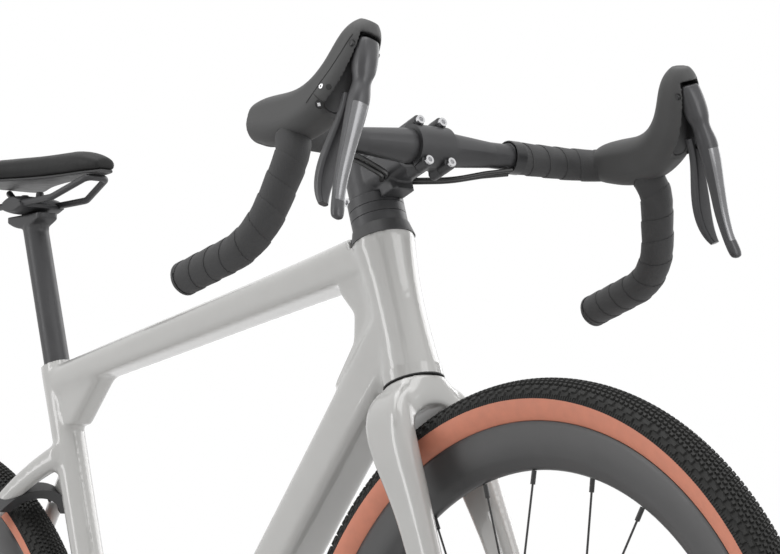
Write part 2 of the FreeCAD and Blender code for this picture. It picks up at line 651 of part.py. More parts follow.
def make_fork():
    """The fork: tapered steerer, crown and two legs, with an arched tunnel for the tyre."""
    top = HEAD_LOW - float(d.seal_thickness + d.joint_gap)
    width = float(d.fork_crown_width)
    depth = float(d.fork_leg_depth)
    drop = float(d.fork_crown_height)
    ring = 2 * float(d.head_lower_radius)
    stations = ((0.0, ring, ring, 27.5), (0.35, ring + 18, ring - 1, 25.0), (0.7, width - 12, depth + 6, 21.0),
                (1.0, width - 9, depth + 2, 15.0))
    crown = loft([section(steer_point(top - t * drop, 0), LEFT, STEER_AHEAD, w, h, r, r)
                  for t, w, h, r in stations])
    leg = right_leg()
    fit = d.running_fit
    lower = rod(steer_point(top - 6.0, 0), STEER_UP, d.steerer_lower_radius, 26.0)
    cone_base = steer_point(top + 20.0, 0)
    cone = Part.makeCone(float(d.steerer_lower_radius), float(d.steerer_radius), 50.0, cone_base, STEER_UP)
    steerer = rod(cone_base, STEER_UP, d.steerer_radius, STEM_TOP - 3.0 - (top + 20.0))
    body = fused([crown, lower, cone, steerer] + leg + [flip_left(shape) for shape in leg])
    ring_radius = d.tyre_outer_radius - d.tyre_width / 2
    room = float(d.tyre_width / 2 + d.crown_room)
    tunnel = Part.makeTorus(float(ring_radius), room, FRONT_AXLE, LEFT)
    inside = cross_rod(FRONT_AXLE, ring_radius, room)
    bore = rod(steer_point(top + 20.0, 0), STEER_UP, d.steerer_bore_radius, 400.0)
    axle = cross_rod(FRONT_AXLE, d.axle_radius + fit, d.front_hub_width)
    hub_room = cross_rod(FRONT_AXLE, d.hub_flange_radius + 2.0, d.front_hub_width / 2)
    outside = float(d.front_hub_width / 2 + d.front_dropout_thickness)
    faces = [rod(FRONT_AXLE + LEFT * (side * outside), LEFT * side, d.axle_head_radius + 2.0, 20.0)
             for side in (-1, 1)]
    return finish("fork", body.cut(Part.Compound([tunnel, inside, bore, axle, hub_room] + faces)))


def make_steerer_stack():
    """Spacers between the cover and the stem, and the cap with its plug inside the steerer."""
    ring = turned("spacer", (
        (d.steerer_radius, 0.0), (d.spacer_radius, 0.0), (d.spacer_radius, d.spacer_height - 0.6),
        (d.spacer_radius - 0.6, d.spacer_height), (d.steerer_radius, d.spacer_height)), Placement())
    start = COVER_TOP + float(d.joint_gap)
    count = int(round(float(d.spacer_count)))
    repeated("headset_spacers", ring, [
        along(steer_point(start + i * float(d.spacer_height), 0), STEER_UP) for i in range(count)])
    cap_radius = d.stem_clamp_radius - 4.0
    cap = turned("steerer_cap", (
        (0.0, -45.0), (d.steerer_bore_radius, -45.0), (d.steerer_bore_radius, -12.0), (4.0, -12.0),
        (4.0, 0.0),
        (cap_radius, 0.0), (cap_radius, 3.0), (cap_radius - 2.0, 4.5), (5.0, 4.5), (5.0, 2.0), (0.0, 2.0)),
        along(steer_point(STEM_TOP, 0), STEER_UP))
    keep(cap, "steerer_cap")


# Stem and handlebar
def steer_box(low, high, back, front, half_width):
    """A box lined up with the steering axis."""
    box = Part.makeBox(front - back, 2 * half_width, high - low)
    turn = Rotation(STEER_AHEAD, LEFT, STEER_UP, "XYZ")
    box.Placement = Placement(steer_point(low, back, -half_width), turn)
    return box


def faceplate_bolt_spots():
    """The four faceplate bolt axes, as points in the bar's own cross plane."""
    spread, rise = float(d.faceplate_bolt_spread), float(d.faceplate_bolt_rise)
    reach = float(d.stem_reach)
    return [(BAR_RISE + i * rise, reach, j * spread) for i in (-1, 1) for j in (-1, 1)]


def make_stem():
    """The stem with its hose port, the faceplate in front of the bar, and the bolts of both clamps."""
    clamp_radius = float(d.bar_clamp_radius + d.bar_clamp_wall)
    ear = float(d.bolt_head_radius) + 1.6
    half = float(d.bar_clamp_width) / 2
    reach = float(d.stem_reach)
    ring = cross_rod(BAR, clamp_radius, half)
    ears = [rod(steer_point(a, b - 14.0, c), STEER_AHEAD, ear, 26.0) for a, b, c in faceplate_bolt_spots()]
    clamp = fused([ring] + ears)
    gap = float(d.joint_gap) * 2
    behind = steer_box(BAR_RISE - 80, BAR_RISE + 80, reach - 80, reach, 80.0)
    ahead = steer_box(BAR_RISE - 80, BAR_RISE + 80, reach + gap, reach + 80, 80.0)
    bar_hole = cross_rod(BAR, d.bar_clamp_radius, 80.0)
    middle = steer_point((STEM_FOOT + STEM_TOP) / 2, 0)
    heading = BAR - middle
    width, height = float(d.stem_body_width), float(d.stem_body_height)
    neck = loft([tube_section(middle + heading * t, heading, width - 8 * t, height - 3 * t, 13.0, 13.0)
                 for t in (0.0, 0.4, 0.85)])
    post = rod(steer_point(STEM_FOOT, 0), STEER_UP, d.stem_clamp_radius, d.stem_clamp_height)
    lug_wires = [section(steer_point(STEM_FOOT + 8.0, back), LEFT, STEER_UP, w, 13.0, 5.0, 5.0)
                 for back, w in ((-8.0, 26.0), (-29.0, 18.0))]
    port = steer_box(STEM_FOOT - 8.0, STEM_FOOT + 12.0, 12.0, 45.0, 13.0)
    port = port.makeFillet(5.0, [edge for edge in port.Edges if edge.Length < 21.0])
    body = fused([post, neck, clamp.common(behind), loft(lug_wires), port])
    bolt_holes = [rod(steer_point(a, b - 14.0, c), STEER_AHEAD, d.bolt_radius, 40.0)
                  for a, b, c in faceplate_bolt_spots()]
    rear_spots = [steer_point(STEM_FOOT + 8.0, -24.0, side) for side in (-1, 1)]
    cross_bolt = rod(rear_spots[0] - LEFT * 12.0, LEFT, d.bolt_radius, 26.0)
    below = rod(steer_point(STEM_FOOT - 30, 0), STEER_UP, d.spacer_radius + 0.5, 30.0)
    column = rod(steer_point(STEM_FOOT - 20, 0), STEER_UP, d.steerer_radius, 200.0)
    heads = [rod(steer_point(a, b + 12.0, c), STEER_AHEAD, d.bolt_head_radius, 20.0)
             for a, b, c in faceplate_bolt_spots()]
    rear_head = rod(rear_spots[0] - LEFT * 8.2, -LEFT, d.bolt_head_radius, 12.0)
    away = Part.Compound([bar_hole, column, below, cross_bolt, rear_head] + bolt_holes + heads)
    stem = finish("stem", body.cut(away))
    finish("stem_faceplate", clamp.common(ahead).cut(Part.Compound([bar_hole] + bolt_holes + heads)))
    bolt = bolt_body("stem_bolt", 22.0)
    places = [along(steer_point(a, b + 12.0, c), STEER_AHEAD) for a, b, c in faceplate_bolt_spots()]
    places.append(along(rear_spots[0] - LEFT * 8.2, -LEFT))
    repeated("stem_bolts", bolt, places)
    return stem


def bar_points():
    """The line of the right hand half of the handlebar, from the top to the end of the drop."""
    return [BAR - LEFT * (float(d.bar_taper_half_width) - 4.0), side_point(0, 0),
            side_point(float(d.bar_reach), -float(d.bar_ramp_drop)),
            side_point(float(d.bar_drop_reach), -float(d.bar_drop)),
            side_point(-float(d.bar_end_reach), -float(d.bar_end_drop))]


def bar_radii():
    return [float(d.bar_corner_radius), float(d.bar_hook_radius), float(d.bar_drop_radius)]


def bar_end_heading():
    points = bar_points()
    return (points[-1] - points[-2]).normalize()


def right_bar():
    return pipe(rounded_path(bar_points(), bar_radii()), d.bar_grip_radius)


def make_handlebar():
    """A flared drop bar: a thick middle for the clamp, tapered to the grips, bored for the end plugs."""
    bulge, taper = d.bar_bulge_half_width, d.bar_taper_half_width
    grip, thick = d.bar_grip_radius, d.bar_clamp_radius
    middle = turned("bar_middle", (
        (0.0, -taper), (grip, -taper), (thick, -bulge), (thick, bulge), (grip, taper), (0.0, taper)),
        across(BAR))
    doc.recompute()
    right = right_bar()
    end = bar_points()[-1]
    heading = bar_end_heading()
    hole = rod(end - heading * float(d.plug_stem_length), heading, d.plug_stem_radius, 40.0)
    bar = fused([middle.Shape, right, flip_left(right)]).cut(hole).cut(flip_left(hole))
    finish("handlebar", bar)
    plug = turned("bar_plug", (
        (0.0, -d.plug_stem_length), (d.plug_stem_radius, -d.plug_stem_length), (d.plug_stem_radius, 0.0),
        (d.plug_radius, 0.0), (d.plug_radius, d.plug_length * 0.5), (d.plug_radius - 2.0, d.plug_length),
        (0.0, d.plug_length)), Placement())
    left_end = Vector(end.x, -end.y, end.z)
    left_heading = Vector(heading.x, -heading.y, heading.z)
    repeated("bar_end_plugs", plug, [along(end, heading), along(left_end, left_heading)])


# Controls
HOOD_ROWS = (
    # ahead, rise, pitch, height, width of the hood's sections
    (22.0, 0.0, 0.0, 34.0, 34.0), (58.0, -1.5, 5.0, 44.0, 36.0), (95.0, 4.0, 22.0, 42.0, 36.0),
    (121.0, 22.0, 45.0, 40.0, 36.0), (135.0, 47.0, 62.0, 38.0, 34.0), (142.5, 66.0, 72.0, 32.0, 29.0),
    (146.0, 76.0, 75.0, 16.0, 15.0),
)
BLADE_ROWS = (
    # ahead, rise, depth and width of the brake blade's sections
    (150.0, 57.0, 15.0, 17.0), (152.0, 42.0, 20.0, 20.0), (157.0, 10.0, 19.0, 14.0),
    (157.5, -25.0, 14.0, 13.0), (156.5, -65.0, 12.0, 12.0), (162.5, -99.0, 9.0, 11.0),
)
PADDLE_ROWS = (
    # ahead, rise, depth and width of the shift paddle's sections
    (140.0, 10.0, 9.0, 11.0), (139.5, -15.0, 9.0, 12.0), (135.0, -45.0, 10.0, 17.0),
    (134.0, -68.0, 9.0, 16.0), (141.0, -88.0, 6.0, 9.0),
)


def hood_form(wall):
    """The outside of the hood, or the body inside it when a wall is taken off."""
    wires = []
    for ahead, rise, pitch, height, width in HOOD_ROWS:
        heading = FORWARD * cosine(pitch) + SIDE_UP * sine(pitch)
        tall = SIDE_UP * cosine(pitch) - FORWARD * sine(pitch)
        centre = side_point(ahead, rise) - heading * wall * (1.0 if ahead > 140 else 0.0)
        wires.append(section(centre, SIDE_OUT, tall, width - 2 * wall, height - 2 * wall, 14.0, 14.0))
    return loft(wires)


def blade_form(rows, reference):
    """A lever or paddle as a smooth form through its sections."""
    points = [side_point(row[0], row[1]) for row in rows]
    wires = []
    for i, (row, point) in enumerate(zip(rows, points)):
        heading = points[min(i + 1, len(points) - 1)] - points[max(i - 1, 0)]
        wires.append(tube_section(point, heading, row[3], row[2], 3.0, 3.0, reference))
    return loft(wires)


def make_controls():
    """Hoods, lever bodies with their pins, brake levers, shift paddles, and the tape that meets the hoods."""
    bar = right_bar()
    outside = hood_form(0.0)
    inside = hood_form(float(d.hood_wall))
    half = float(d.lever_slot_width) / 2
    slot = Part.makeBox(53.0, 86.0, 2 * half)
    slot.Placement = Placement(side_point(133.0, -24.0, -half), Rotation(FORWARD, SIDE_UP, SIDE_OUT, "XYZ"))
    pivot = side_point(float(d.lever_pivot_reach), float(d.lever_pivot_rise))
    pin_half = 15.0
    pin = rod(pivot - SIDE_OUT * pin_half, SIDE_OUT, d.lever_pin_radius, 2 * pin_half)
    swept = []
    swing_steps = 4
    for step in range(swing_steps + 1):
        turned_slot = slot.copy()
        turned_slot.rotate(pivot, -SIDE_OUT, float(d.lever_travel) * step / swing_steps)
        swept.append(turned_slot)
    away = Part.Compound([bar, pin]).fuse(fused(swept))
    hood = finish("hood_right", outside.cut(inside).cut(away))
    mirrored("hood_left", hood)
    body = inside.cut(away)
    finish("lever_bodies", Part.Compound([body, pin, flip_left(body), flip_left(pin)]))
    fit = d.running_fit
    stub_base = side_point(151.0, float(d.paddle_pivot_rise))
    stub = rod(stub_base, -FORWARD, d.paddle_pin_radius, 151.0 - float(d.paddle_pivot_reach))
    blade = blade_form(BLADE_ROWS, FORWARD)
    pin_hole = rod(pivot - SIDE_OUT * 30, SIDE_OUT, d.lever_pin_radius + fit, 60.0)
    lever = finish("brake_lever_right", blade.cut(pin_hole).fuse(stub).removeSplitter())
    mirrored("brake_lever_left", lever)
    paddle = blade_form(PADDLE_ROWS, FORWARD)
    stub_hole = rod(stub_base, -FORWARD, d.paddle_pin_radius + fit, 40.0)
    paddle = finish("shift_paddle_right", paddle.cut(stub_hole))
    mirrored("shift_paddle_left", paddle)
    points = bar_points()
    points[0] = BAR - LEFT * float(d.tape_start)
    sleeve = pipe(rounded_path(points, bar_radii()), d.bar_grip_radius + d.tape_thickness)
    tape = sleeve.cut(Part.Compound([bar, outside]))
    finish("bar_tape", Part.Compound(tape.Solids + [flip_left(item) for item in tape.Solids]))


def make_control_lines(stem):
    """A brake hose and a shift cable from each side, from under the tape to the port below the stem."""
    lines = []
    port_face = STEM_FOOT + 7.0
    for radius, ahead, drop in ((d.hose_radius, 30.0, 0.0), (d.cable_radius, 37.0, 1.0)):
        below = float(d.bar_grip_radius + radius) + 1.2
        start = BAR - LEFT * (float(d.tape_start) - 1.2) - STEER_UP * below
        start = start + STEER_AHEAD * (ahead - 33.0)
        near = steer_point(port_face - drop, ahead, -13.0)
        knee = Vector(near.x * 0.35 + start.x * 0.65, near.y - 26.0, near.z - 1.0)
        bend = start * 0.55 + knee * 0.45 + UP
        run = pipe(rounded_path([start, bend, knee, near], [60.0, 40.0]), radius).cut(stem.Shape)
        lines += [run, flip_left(run)]
    finish("control_lines", Part.Compound(lines))


# Seat
SADDLE_ROWS = (
    # place along the saddle, width share, drop of the top, drop of the shell's underside
    (0.0, 0.15, 19.0, 34.0), (0.1, 0.26, 9.5, 33.5), (0.3, 0.31, 4.5, 32.0), (0.5, 0.46, 2.5, 30.0),
    (0.7, 0.74, 0.5, 27.5), (0.88, 0.98, 0.0, 24.0), (1.0, 0.84, 3.0, 19.0),
)


def saddle_section(row, over, under):
    """A crowned section with drawn-in sides: over and under are heights of its top and bottom."""
    place, share = row[0], row[1]
    x = float(d.saddle_nose) - place * float(d.saddle_length)
    half = share * float(d.saddle_width) / 2
    base = half - min(5.0, 0.25 * half)
    edge = over - 0.25 * (over - under)
    shoulder = half * 0.86
    at = lambda y, z: Vector(x, y, z)
    middle = (edge + under) / 2
    return Part.Wire([
        Part.LineSegment(at(-base, under), at(base, under)).toShape(),
        Part.Arc(at(base, under), at(half, middle), at(shoulder, edge)).toShape(),
        Part.Arc(at(shoulder, edge), at(0, over), at(-shoulder, edge)).toShape(),
        Part.Arc(at(-shoulder, edge), at(-half, middle), at(-base, under)).toShape(),
    ])


def shell_drop(x):
    """How far the saddle shell's underside lies below the saddle's top, at a place along it."""
    share = (float(d.saddle_nose) - x) / float(d.saddle_length)
    for first, last in zip(SADDLE_ROWS, SADDLE_ROWS[1:]):
        if share <= last[0]:
            t = (share - first[0]) / (last[0] - first[0])
            return first[3] + (last[3] - first[3]) * t
    return SADDLE_ROWS[-1][3]


def make_seat():
    """Seat post with its head, the rail clamp, the rails, and the saddle's shell and cushion."""
    start = d.seat_tube_top - d.post_insertion
    post = turned("post_tube", ((0.0, 0.0), (d.post_radius, 0.0), (d.post_radius, d.post_top - start),
                                (0.0, d.post_top - start)), along(seat_point(float(start)), SEAT_UP))
    doc.recompute()
    top = float(d.saddle_height)
    rail_z = float(d.rail_height)
    head_centre = seat_point(float(d.post_top)).x - 6.0
    cradle_low = rail_z - 10.0
    head = Part.makeBox(66.0, 26.0, 15.0, Vector(head_centre - 33.0, -13.0, cradle_low - 15.0))
    head = head.makeFillet(5.0, [edge for edge in head.Edges if edge.Length < 16.0])
    bolt_spots = [Vector(head_centre + shift, 0, 0) for shift in (-15.0, 15.0)]
    bolt_holes = [rod(spot + UP * (cradle_low - 20.0), UP, d.bolt_radius, 60.0) for spot in bolt_spots]
    finish("seat_post", fused([post.Shape, head]).cut(Part.Compound(bolt_holes)))
    spread = float(d.rail_spread)
    nose, tail = float(d.saddle_nose) - 17.0, float(d.saddle_nose) - 0.9 * float(d.saddle_length)
    lift = float(d.rail_radius + d.joint_gap)
    nose_z, tail_z = top - shell_drop(nose) - lift, top - shell_drop(tail) - lift
    half_run = [Vector(tail, -spread - 10.0, tail_z), Vector(head_centre - 52.0, -spread, rail_z),
                Vector(head_centre + 72.0, -spread, rail_z), Vector(nose, -12.0, nose_z)]
    other_half = [Vector(point.x, -point.y, point.z) for point in reversed(half_run)]
    rails = pipe(rounded_path(half_run + other_half, [25.0, 25.0, 8.0, 8.0, 25.0, 25.0]), d.rail_radius)
    finish("saddle_rails", rails)
    lower = Part.makeBox(46.0, 2 * spread + 12, 10.0, Vector(head_centre - 23.0, -spread - 6, cradle_low))
    upper = Part.makeBox(40.0, 2 * spread + 12, 9.0, Vector(head_centre - 20.0, -spread - 6, rail_z + 0.6))
    away = Part.Compound([rails] + bolt_holes)
    bolt = bolt_body("cradle_bolt", rail_z + 9.6 - cradle_low + 12.0)
    doc.recompute()
    bolts = []
    for spot in bolt_spots:
        copy = bolt.Shape.copy()
        copy.Placement = Placement(spot + UP * (rail_z + 9.6), Rotation())
        bolts.append(copy)
    finish("saddle_clamp", Part.Compound([lower.cut(away), upper.cut(away)] + bolts))
    shell = float(d.saddle_shell_thickness)
    cushion = [saddle_section(row, top - row[2], top - row[3] + shell) for row in SADDLE_ROWS]
    wires = []
    for row in SADDLE_ROWS:
        middle = Vector(float(d.saddle_nose) - row[0] * float(d.saddle_length), 0, top - row[3] + shell / 2)
        width = row[1] * float(d.saddle_width)
        wires.append(section(middle, LEFT, UP, width - min(10.0, width * 0.25), shell, 1.2, 1.2))
    shell_form = finish("saddle_shell", loft(wires))
    finish("saddle_cushion", loft(cushion).cut(shell_form.Shape))


# Wheels
def turned_face(edges, centre):
    """Turns a closed section (radius, 0, along) about a cross axle."""
    face = Part.Face(Part.Wire(edges))
    shape = face.revolve(ORIGIN, UP, 360)
    shape.Placement = across(centre)
    return shape


def spot(point):
    """A point of a half section, given as (radius, along)."""
    return Vector(point[0], 0, point[1])


def arc(first, middle, last):
    return Part.Arc(spot(first), spot(middle), spot(last)).toShape()


def line(first, last):
    return Part.LineSegment(spot(first), spot(last)).toShape()


def make_rim(label, centre):
    """A deep rim: a tyre bed between two hooks, bellied sides and a rounded inner edge."""
    outer, half = float(d.rim_outer_radius), float(d.rim_width) / 2
    inner = outer - float(d.rim_depth)
    bed = outer - float(d.rim_bed_depth)
    lip = half - float(d.rim_hook)
    nose = float(d.rim_nose_width) / 2
    edges = []
    for side in (1, -1):
        edges.append(line((bed, side * lip), (outer, side * lip)))
        edges.append(line((outer, side * lip), (outer, side * half)))
        belly = (outer - 17.0, side * (half + 0.5))
        edges.append(arc((outer, side * half), belly, (inner + 5.0, side * nose)))
    edges.append(line((bed, lip), (bed, -lip)))
    edges.append(arc((inner + 5.0, nose), (inner, 0.0), (inner + 5.0, -nose)))
    finish(label, turned_face(Part.__sortEdges__(edges), centre))


def make_tyre(label, centre):
    """A tubeless tyre: a round carcass with two beads that sit in the rim."""
    radius = float(d.tyre_width) / 2
    middle = float(d.tyre_outer_radius) - radius
    outer_rim = float(d.rim_outer_radius)
    bed = outer_rim - float(d.rim_bed_depth)
    lip = float(d.rim_width) / 2 - float(d.rim_hook)
    inside = radius - float(d.tyre_wall)
    toe = lip - float(d.bead_width)
    foot = middle - math.sqrt(inside ** 2 - toe ** 2)
    skirt = math.sqrt(radius ** 2 - (middle - outer_rim) ** 2)
    edges = [arc((outer_rim, skirt), (middle + radius, 0.0), (outer_rim, -skirt)),
             arc((foot, toe), (middle + inside, 0.0), (foot, -toe))]
    for side in (1, -1):
        corners = [(outer_rim, skirt), (outer_rim, lip), (bed, lip), (bed, toe), (foot, toe)]
        corners = [(radius_at, side * across_at) for radius_at, across_at in corners]
        edges += [line(first, last) for first, last in zip(corners, corners[1:])]
    finish(label, turned_face(Part.__sortEdges__(edges), centre))


def make_spokes(label, centre, left_flange, right_flange):
    """Crossed spokes with their nipples, half of them on each flange."""
    count = int(round(float(d.spoke_count)))
    step = 360.0 / count
    rim_radius = float(d.rim_outer_radius - d.rim_depth) - 0.2
    beside = float(d.hub_flange_thickness) / 2 + float(d.spoke_radius) + 0.8
    spokes = []
    for i in range(count):
        side = 1 if i % 2 else -1
        lead = 1 if (i // 2) % 2 else -1
        flange = float(left_flange) if side > 0 else -float(right_flange)
        rim_angle, hub_angle = i * step, i * step + lead * 52.0
        hub_radius = float(d.spoke_hole_radius)
        across_hub = flange + lead * beside
        root = centre + Vector(hub_radius * cosine(hub_angle), across_hub, hub_radius * sine(hub_angle))
        tip = centre + Vector(rim_radius * cosine(rim_angle), side * 2.0, rim_radius * sine(rim_angle))
        run = tip - root
        spoke = rod(root, run, d.spoke_radius, run.Length)
        nipple = rod(tip - run.normalize() * float(d.nipple_length), run, d.nipple_radius, d.nipple_length)
        spokes.append(spoke.fuse(nipple).removeSplitter())
    finish(label, Part.Compound(spokes))


def hub_outline(half_width, left_flange, right_flange, rotor_offset, right_end):
    """The half section of a hub, from its right end to its left end; right_end is the radius there."""
    bore = d.axle_radius + d.running_fit
    body, flange, half = d.hub_body_radius, d.hub_flange_radius, d.hub_flange_thickness / 2
    waist = body - 3.0
    seat = d.rotor_bore_radius
    face = rotor_offset - d.rotor_thickness / 2
    return (
        (bore, -half_width), (right_end, -half_width), (right_end, -(right_flange + half + 2.0)),
        (body, -(right_flange + half + 2.0)), (body, -(right_flange + half)),
        (flange, -(right_flange + half)),
        (flange, half - right_flange), (body, half - right_flange), (waist, half - right_flange + 6.0),
        (waist, left_flange - half - 6.0), (body, left_flange - half), (flange, left_flange - half),
        (flange, left_flange + half), (body, left_flange + half),
        (body, face - 3.0), (seat + 4.0, face - 3.0), (seat + 4.0, face), (seat, face), (seat, face + 5.0),
        (d.hub_end_radius, face + 5.0), (d.hub_end_radius, half_width), (bore, half_width))


def make_rotor(label, centre, offset):
    """A brake disc with windows and vent holes, and the ring that locks it to the hub."""
    body = doc.addObject("PartDesign::Body", label + "_disc")
    sketch = new_sketch(body, "XY_Plane", label + "_rim")
    draw_circle(sketch, 0.0, 0.0, d.rotor_radius)
    draw_circle(sketch, 0.0, 0.0, d.rotor_bore_radius)
    pad = body.newObject("PartDesign::Pad", label + "_pad")
    pad.Profile = sketch
    bind(pad, "Length", d.rotor_thickness)
    doc.recompute()
    outer = d.rotor_radius - d.rotor_track
    window = new_sketch(body, "XY_Plane", label + "_window")
    draw_outline(window, ((d.rotor_bore_radius + 10.0, -7.0), (outer - 2.0, -25.0), (outer - 2.0, 14.0),
                          (d.rotor_bore_radius + 13.0, 9.0)))
    vent = new_sketch(body, "XY_Plane", label + "_vent")
    vent_count, vent_radius = 24, 2.3
    half_step = 180.0 / vent_count
    inner_row = d.rotor_radius - d.rotor_track * 0.72
    draw_circle(vent, d.rotor_radius - d.rotor_track * 0.35, 0.0, vent_radius)
    draw_circle(vent, inner_row * cosine(half_step), inner_row * sine(half_step), vent_radius)
    for profile, copies in ((window, 6), (vent, vent_count)):
        pocket = body.newObject("PartDesign::Pocket", profile.Name + "_cut")
        pocket.Profile = profile
        pocket.Type = "ThroughAll"
        pocket.Reversed = True
        pattern = body.newObject("PartDesign::PolarPattern", profile.Name + "_round")
        pattern.Originals = [pocket]
        pattern.Axis = (profile, ["N_Axis"])
        pattern.Angle = 360
        pattern.Occurrences = copies
        body.Tip = pattern
        doc.recompute()
    body.Placement = across(centre + LEFT * float(offset - d.rotor_thickness / 2))
    face = float(offset + d.rotor_thickness / 2)
    lock = turned(label + "_lockring", (
        (d.rotor_bore_radius, 0.0), (d.rotor_bore_radius + 5.0, 0.0), (d.rotor_bore_radius + 5.0, 2.0),
        (d.rotor_bore_radius + 3.5, 3.2), (d.rotor_bore_radius, 3.2)), across(centre + LEFT * face))
    doc.recompute()
    finish(label, Part.Compound([body.Shape, lock.Shape]))


def make_axle(label, centre, half_width, right_reach):
    """A threaded through axle with a flanged head on the left."""
    head = d.axle_head_radius
    keep(turned(label, (
        (0.0, -right_reach), (d.axle_radius, -right_reach), (d.axle_radius, half_width), (head, half_width),
        (head, half_width + d.axle_head_length), (3.0, half_width + d.axle_head_length),
        (3.0, half_width - 6.0), (0.0, half_width - 6.0)), across(centre)), label)


def make_wheels():
    """Both wheels: hub, spokes, rim, tyre, disc and axle each."""
    front, rear = d.front_hub_width / 2, d.rear_hub_width / 2
    rows = (
        ("front", FRONT_AXLE, front, d.front_flange_left, d.front_flange_right, d.front_rotor_offset,
         d.hub_end_radius, d.front_dropout_thickness, 0.0),
        ("rear", REAR_AXLE, rear, d.rear_flange_left, d.rear_flange_right, d.rear_rotor_offset,
         d.freehub_radius, d.rear_dropout_thickness, d.hanger_thickness),
    )
    for name, centre, half, left, right, rotor, right_end, dropout, beyond in rows:
        outline = hub_outline(half - d.joint_gap, left, right, rotor, right_end)
        keep(turned(name + "_hub", outline, across(centre)), name + "_hub")
        make_spokes(name + "_spokes", centre, left, right)
        make_rim(name + "_rim", centre)
        make_tyre(name + "_tyre", centre)
        make_rotor(name + "_rotor", centre, rotor)
        make_axle(name + "_axle", centre, half + dropout, half + dropout + beyond)


# Brakes
def make_caliper(label, carrier, axle, rotor_offset, seat, upward, back, bolt_side):
    """A flat mount caliper with its pads and bolts, standing on the fork leg or the chain stay."""
    offset = float(rotor_offset)
    rotor_centre = axle + LEFT * offset
    half_length, depth, sunk = 31.0, 27.0, 8.0
    width_in, width_out = 15.0, max(16.0, bolt_side - offset + 8.0)
    lengthwise = back.cross(LEFT) * -1.0
    base = Vector(seat.x, offset - width_in, seat.z) - lengthwise * half_length - back * sunk
    block = Part.makeBox(2 * half_length, width_in + width_out, depth + sunk)
    upper_edges = [edge for edge in block.Edges if edge.BoundBox.ZMin > depth]
    block = block.makeFillet(7.0, upper_edges)
    block.Placement = Placement(base, Rotation(lengthwise, LEFT, back, "XYZ"))
    pad_room, pad = 0.4, 3.0
    half_disc = float(d.rotor_thickness) / 2
    slot = cross_rod(rotor_centre, d.rotor_radius + 2.5, half_disc + pad_room + pad + 0.2)
    bolts, holes = [], []
    shank = depth + sunk + 2.0
    bolt = bolt_body(label + "_bolt", shank)
    doc.recompute()
    for shift in (-22.0, 22.0):
        top = Vector(seat.x, bolt_side, seat.z) + upward * shift + back * depth
        copy = bolt.Shape.copy()
        copy.Placement = along(top, back)
        bolts.append(copy)
        holes.append(rod(top - back * shank, back, d.bolt_radius, shank))
    body = block.cut(slot).cut(carrier.Shape).cut(Part.Compound(holes))
    body = sorted(body.Solids, key=lambda item: item.Volume)[-1]
    carrier.Shape = carrier.Shape.cut(Part.Compound(holes))
    pads = []
    middle = (seat + back * (depth * 0.35) - axle)
    middle = Vector(middle.x, 0, middle.z).normalize() * float(d.rotor_radius - d.rotor_track / 2)
    for side in (-1, 1):
        inner = half_disc + pad_room
        ring = cross_rod(rotor_centre + LEFT * (side * (inner + pad / 2)), d.rotor_radius, pad / 2)
        ring = ring.cut(cross_rod(rotor_centre, d.rotor_radius - d.rotor_track, 20.0))
        pads.append(ring.common(cross_rod(rotor_centre + middle, 14.0, 20.0)))
    finish(label, Part.Compound([body] + pads + bolts))


def make_brakes(fork, frame):
    """The front caliper behind the left fork leg and the rear one on the left chain stay."""
    low, high = steer_point(0.0, 35.0), steer_point(86.0, 12.0)
    upward = (high - low).normalize()
    back = LEFT.cross(upward)
    back = back if back.x < 0 else -back
    make_caliper("front_caliper", fork, FRONT_AXLE, d.front_rotor_offset, steer_point(60.0, 19.0), upward,
                 back, 53.0)
    stay = Vector(1.0, 0.0, -0.14).normalize()
    over = stay.cross(LEFT)
    over = over if over.z > 0 else -over
    seat = REAR_AXLE + Vector(80.0, 0, -4.0)
    make_caliper("rear_caliper", frame, REAR_AXLE, d.rear_rotor_offset, seat, stay, over, 67.0)


# Drive
COG_INDEX = int(round(float(d.cog_place)))
CHAIN_SIDE = -float(d.chain_line)
GUIDE = Vector(float(d.guide_pulley_x), 0, float(d.guide_pulley_z))
TENSION = GUIDE + Vector(cosine(d.cage_angle), 0, -sine(d.cage_angle)) * float(d.cage_length)
HANGER_HOLE = REAR_AXLE + Vector(-float(d.hanger_setback), 0, -float(d.hanger_drop))
LINK_WAY = Vector(cosine(d.link_slope), 0, -sine(d.link_slope))
LINK_PIN_AXIS = Vector(sine(d.link_slope), 0, cosine(d.link_slope))
CAGE_PIVOT = HANGER_HOLE + LINK_WAY * float(d.link_length)
LINK_SIDE = -91.0


def chain_radius(teeth):
    """The radius at which the chain's pins run over a wheel."""
    return teeth * float(d.chain_pitch) / (2 * math.pi)


def chain_wheels():
    """What the chain runs over, in order: centre, tooth count, and 1 for clockwise from the drive side."""
    pulley = int(round(float(d.pulley_teeth)))
    return [(REAR_AXLE, COG_TEETH[COG_INDEX], 1), (BRACKET, int(round(float(d.chainring_teeth))), 1),
            (TENSION, pulley, 1), (GUIDE, pulley, -1)]


